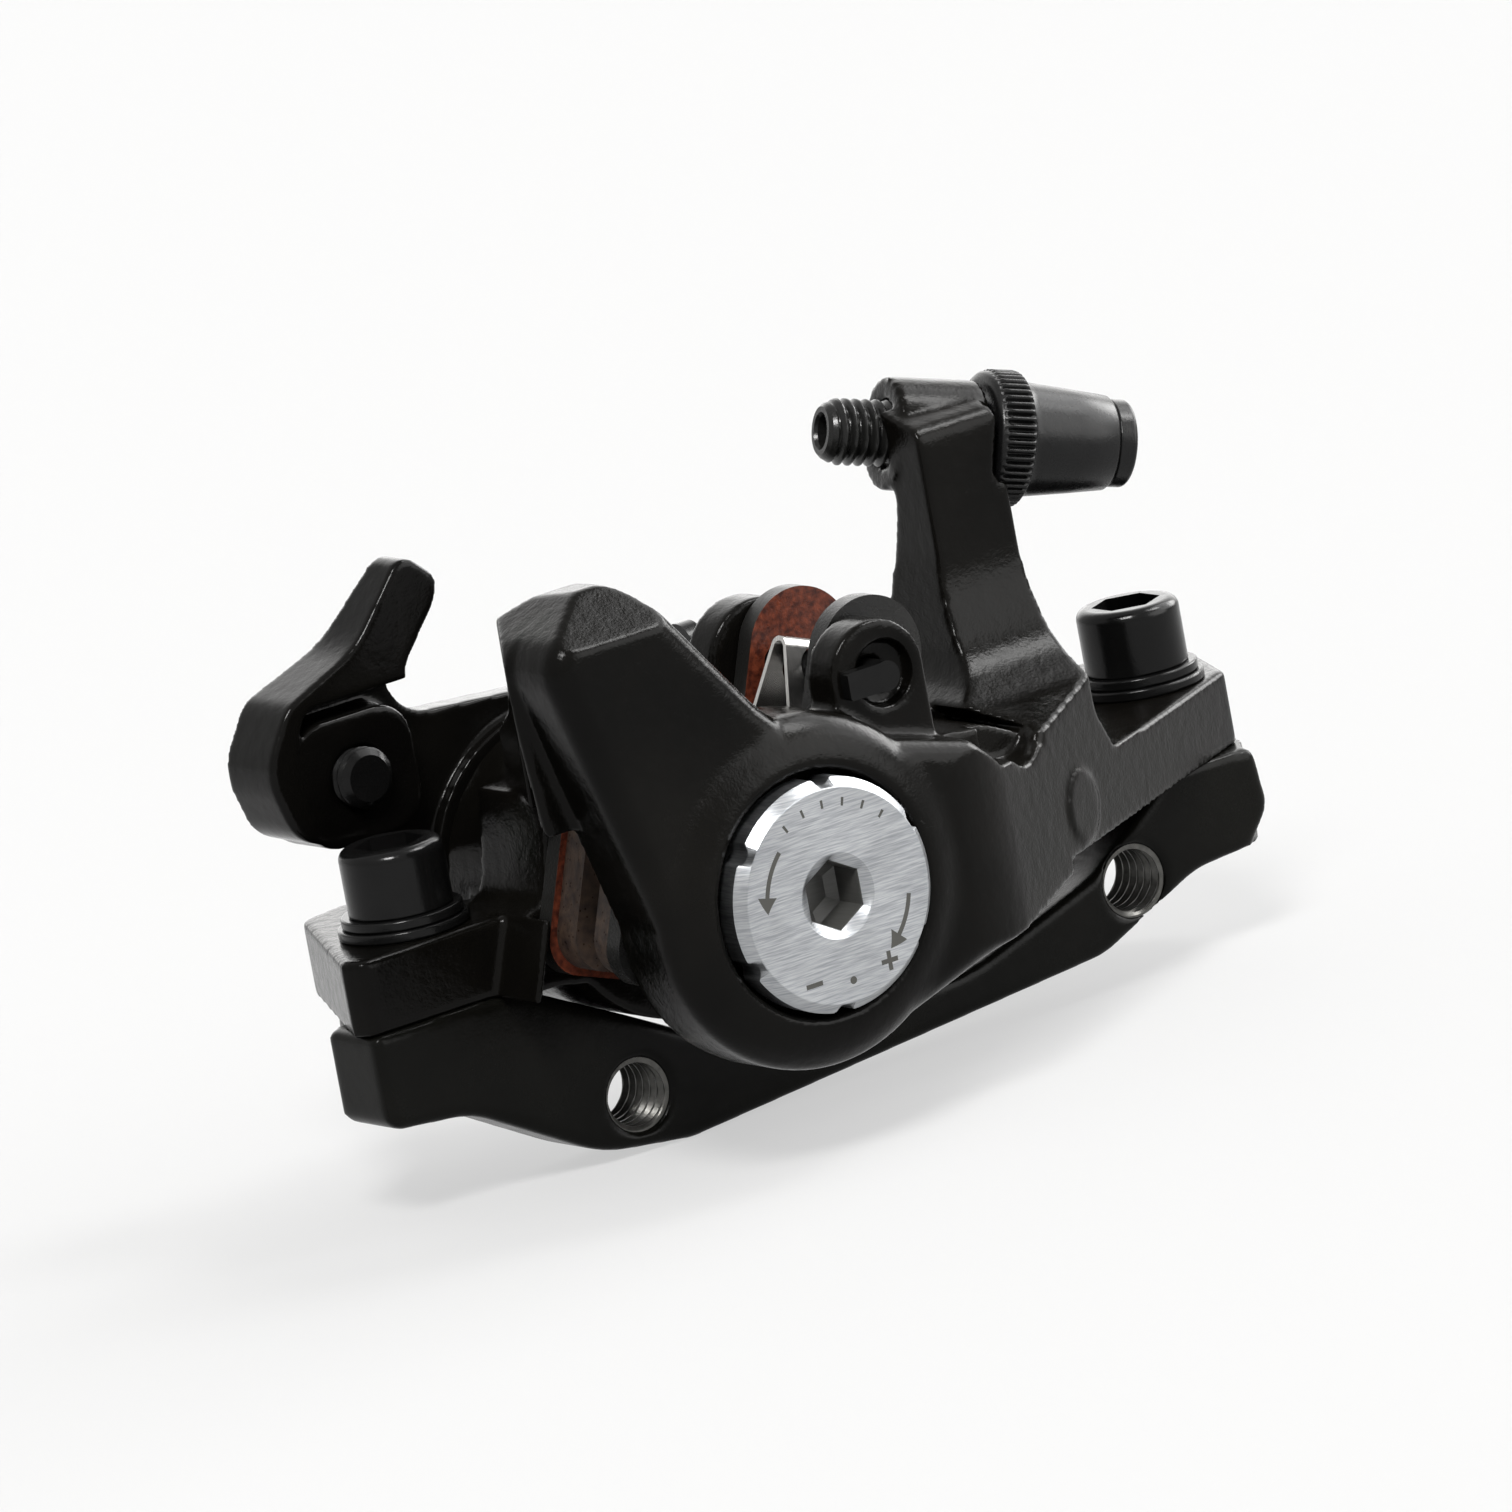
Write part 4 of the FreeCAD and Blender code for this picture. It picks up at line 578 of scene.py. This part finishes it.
# Lever: a forging in the same paint as the body, clamped on the shaft's flats by a washer and a screw. Its
# coil spring lies in the hub, and the cable anchor is a screw through the boss.
lever_paint = painted("lever_paint", (0.0012, 0.0011, 0.0010), (0.0030, 0.0028, 0.0024), 0.14, peel=1.0, grain=0.4,
                      depth=0.00003)
lever = softened("lever_forging", "lever_arm", "lever", lever_paint, voxel=0.00026, passes=4)
dress("return_spring", bright_steel("spring_wire", (0.50, 0.50, 0.51), 0.3, (2500, 2500, 2500)))

ANCHOR = (-0.0389, 0.0, 0.0276)
ANCHOR_RADIUS = 0.0025
ANCHOR_PITCH = 0.0008
ANCHOR_DEPTH = 0.00042
ANCHOR_COLUMNS = 72

# Rows from the threaded tip in front to the socket in the head at the back: radius and level of each ring
level = np.linspace(0.0033, 0.0108, 76)[:, None]
shank = ANCHOR_RADIUS - ANCHOR_DEPTH * (1 - thread_wave(level, ANCHOR_COLUMNS, ANCHOR_PITCH))
socket_wall = hexagon(0.004, ANCHOR_COLUMNS)
profile = [
    (0.0012, 0.00302), (0.0019, 0.0030), *zip(shank, level[:, 0]), (ANCHOR_RADIUS, 0.0112), (ANCHOR_RADIUS, 0.01224),
    (0.0043, 0.01224), (0.0044, 0.0124), (0.0044, 0.0153), (0.0041, 0.01563), (0.0028, 0.01564),
    (socket_wall * 1.02, 0.01563), (socket_wall, 0.0155), (socket_wall, 0.0134), (socket_wall * 0.5, 0.0133)]
rows = turned_rows(profile, ANCHOR, (0, 1, 0), ANCHOR_COLUMNS)
anchor = ring_shell("anchor_screw", rows, bolt_black, "lever",
                    first=(ANCHOR[0], 0.00304, ANCHOR[2]), last=(ANCHOR[0], 0.0132, ANCHOR[2]))
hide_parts("anchor_bolt")

# Barrel adjuster: a hollow steel screw through the cable stop, a knob turned from aluminium with a straight
# knurl and a plain cone, anodised black, and a pressed ferrule that takes the cable housing.
BARREL_START = np.array([0.0059, -0.0025, 0.0451])
BARREL_LINE = np.array([0.933, -0.237, -0.272])
SCREW_RADIUS = 0.00275
SCREW_PITCH = 0.0009
SCREW_DEPTH = 0.00045
SCREW_TIP = 0.0003
SCREW_BORE = 0.0014
SCREW_RIM = 0.0020
SCREW_COLUMNS = 72
level = np.linspace(SCREW_TIP, 0.0184, 180)[:, None]
crest = SCREW_RADIUS - SCREW_DEPTH * (1 - thread_wave(level, SCREW_COLUMNS, SCREW_PITCH))
# The first turn of the thread rises from its root at the tip
lead = np.clip((level - SCREW_TIP) / SCREW_PITCH, 0, 1)
crest = np.minimum(crest, SCREW_RADIUS - SCREW_DEPTH * (1 - lead))
profile = [(SCREW_BORE, SCREW_TIP), (SCREW_BORE + 0.00015, 0.0), (SCREW_RIM, 0.0), *zip(crest, level[:, 0]),
           (SCREW_RIM, 0.01865), (SCREW_BORE, 0.01868)]
rows = turned_rows(profile, BARREL_START, BARREL_LINE, SCREW_COLUMNS)
screw_black = painted("screw_black", (0.003, 0.003, 0.003), (0.008, 0.008, 0.0075), 0.24, peel=0.1, grain=0.4,
                      dust=0.3, specular=0.25)
screw = ring_shell("barrel_thread", rows, screw_black, "barrel", loop=True)
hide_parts("barrel_screw")

KNURL_COUNT = 52
KNOB_COLUMNS = KNURL_COUNT * 8
turn = np.arange(KNOB_COLUMNS) / KNOB_COLUMNS * 2 * math.pi
ridge = 0.5 - 0.5 * np.cos(turn * KNURL_COUNT)
ridge = np.clip(1.5 * ridge - 0.2, 0, 1)


def knob_ring(radius, level, knurl=0.0):
    """One ring of the knob: the radius, less the knurl's depth between its ridges."""
    return radius - knurl * (1 - ridge), level


KNOB_START = 0.0137
KNURL_LENGTH = 0.0032
shoulder = KNOB_START + KNURL_LENGTH
profile = [
    knob_ring(0.0028, KNOB_START), knob_ring(0.0047, KNOB_START), knob_ring(0.00525, 0.01378),
    knob_ring(0.00545, 0.0140), knob_ring(0.00548, 0.0143), knob_ring(0.00562, 0.01446, 0.0005),
    knob_ring(0.00562, 0.0150, 0.00058), knob_ring(0.00562, 0.0164, 0.00058), knob_ring(0.00555, 0.0167, 0.0003),
    knob_ring(0.0053, shoulder), knob_ring(0.00492, shoulder + 0.00004), knob_ring(0.00474, shoulder + 0.0003),
    knob_ring(0.00468, shoulder + 0.0008), knob_ring(0.00428, 0.0214), knob_ring(0.00390, 0.0246),
    knob_ring(0.00368, 0.02485), knob_ring(0.00266, 0.0249), knob_ring(0.00266, 0.0188), knob_ring(0.0028, 0.01875)]
rows = turned_rows(profile, BARREL_START, BARREL_LINE, KNOB_COLUMNS)
knob_black = painted("knob_black", (0.003, 0.003, 0.0031), (0.007, 0.007, 0.007), 0.26, peel=0.3, grain=0.5,
                     specular=0.2)
knob = ring_shell("knurled_knob", rows, knob_black, "barrel", loop=True)
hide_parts("barrel_knob")
knob.data.shade_smooth()
dress("housing_ferrule", knob_black)

# Floor, light and camera: a pale, faintly lit table in soft studio light from above, with two small soft boxes
# high up in front, two low ones at the right and a wide dim one behind.
floor_mesh = bpy.data.meshes.new("floor")
FLOOR_LEVEL = cad_box[0].z
FLOOR_REACH = 40.0
floor_mesh.from_pydata([(-FLOOR_REACH, -FLOOR_REACH, FLOOR_LEVEL), (FLOOR_REACH, -FLOOR_REACH, FLOOR_LEVEL),
                        (FLOOR_REACH, FLOOR_REACH, FLOOR_LEVEL), (-FLOOR_REACH, FLOOR_REACH, FLOOR_LEVEL)], [],
                       [(0, 1, 2, 3)])
floor = bpy.data.objects.new("floor", floor_mesh)
bpy.context.scene.collection.objects.link(floor)
paper, tree, shader = new_material("pale_floor")
shader.inputs["Base Color"].default_value = (0.14, 0.14, 0.14, 1)
shader.inputs["Emission Color"].default_value = (1.0, 1.0, 1.0, 1)
shader.inputs["Emission Strength"].default_value = 0.54
shader.inputs["Roughness"].default_value = 0.9
shader.inputs["Specular IOR Level"].default_value = 0.0
floor_mesh.materials.append(paper)

world = bpy.data.worlds.new("studio")
bpy.context.scene.world = world
world.use_nodes = True
tree = world.node_tree
background = tree.nodes["Background"]
sky = add_node(tree, "ShaderNodeTexCoord")
total = None
# Soft lamps in the sky: direction, cosine where each begins and is full, and brightness
for direction, begins, full, brightness in (
        ((0.0, 0.0, 1.0), -1.3, 0.3, 0.85),
        ((-0.42, -0.50, 0.75), 0.985, 0.993, 60.0),
        ((0.52, -0.24, 0.81), 0.985, 0.993, 22.0),
        ((0.62, -0.72, 0.32), 0.88, 0.97, 4.0),
        ((0.52, 0.82, 0.25), 0.75, 0.98, 2.0),
        ((0.92, 0.16, 0.32), 0.96, 0.985, 8.0)):
    aim = Vector(direction).normalized()
    facing = add_node(tree, "ShaderNodeVectorMath", {0: (sky, "Generated")}, operation="DOT_PRODUCT")
    facing.inputs[1].default_value = aim
    lamp = add_node(tree, "ShaderNodeMapRange", {"Value": (facing, "Value")},
                    {"From Min": begins, "From Max": full, "To Min": 0.0, "To Max": brightness},
                    interpolation_type="SMOOTHSTEP")
    if total is None:
        total = lamp.outputs["Result"]
    else:
        added = add_node(tree, "ShaderNodeMath", operation="ADD")
        tree.links.new(total, added.inputs[0])
        tree.links.new(lamp.outputs["Result"], added.inputs[1])
        total = added.outputs[0]
tree.links.new(total, background.inputs["Strength"])
background.inputs["Color"].default_value = (1.0, 0.995, 0.985, 1)

sun = bpy.data.lights.new("soft_key", "SUN")
sun.energy = 2.4
sun.angle = math.radians(50)
key = bpy.data.objects.new("soft_key", sun)
key.rotation_mode = "QUATERNION"
key.rotation_quaternion = Vector((0.80, -0.05, 0.55)).to_track_quat("Z", "Y")
bpy.context.scene.collection.objects.link(key)

lens = bpy.data.cameras.new("camera")
camera = bpy.data.objects.new("camera", lens)
bpy.context.scene.collection.objects.link(camera)
DISTANCE = 1.5
FRAME_WIDTH = 0.1219
right = Vector((0.8105, -0.559, -0.177)).normalized()
back = Vector((-0.5226, -0.825, 0.2121)).normalized()
up = back.cross(right).normalized()
right = up.cross(back)
target = Vector((-0.01186, -0.012, 0.02327))
turn_matrix = Matrix((right, up, back)).transposed()
camera.matrix_world = Matrix.Translation(target + back * DISTANCE) @ turn_matrix.to_4x4()
lens.sensor_width = 36.0
lens.lens = 36.0 * DISTANCE / FRAME_WIDTH
lens.clip_start = 0.05
lens.clip_end = 200.0
bpy.context.scene.camera = camera
bpy.context.scene.view_settings.view_transform = "Standard"
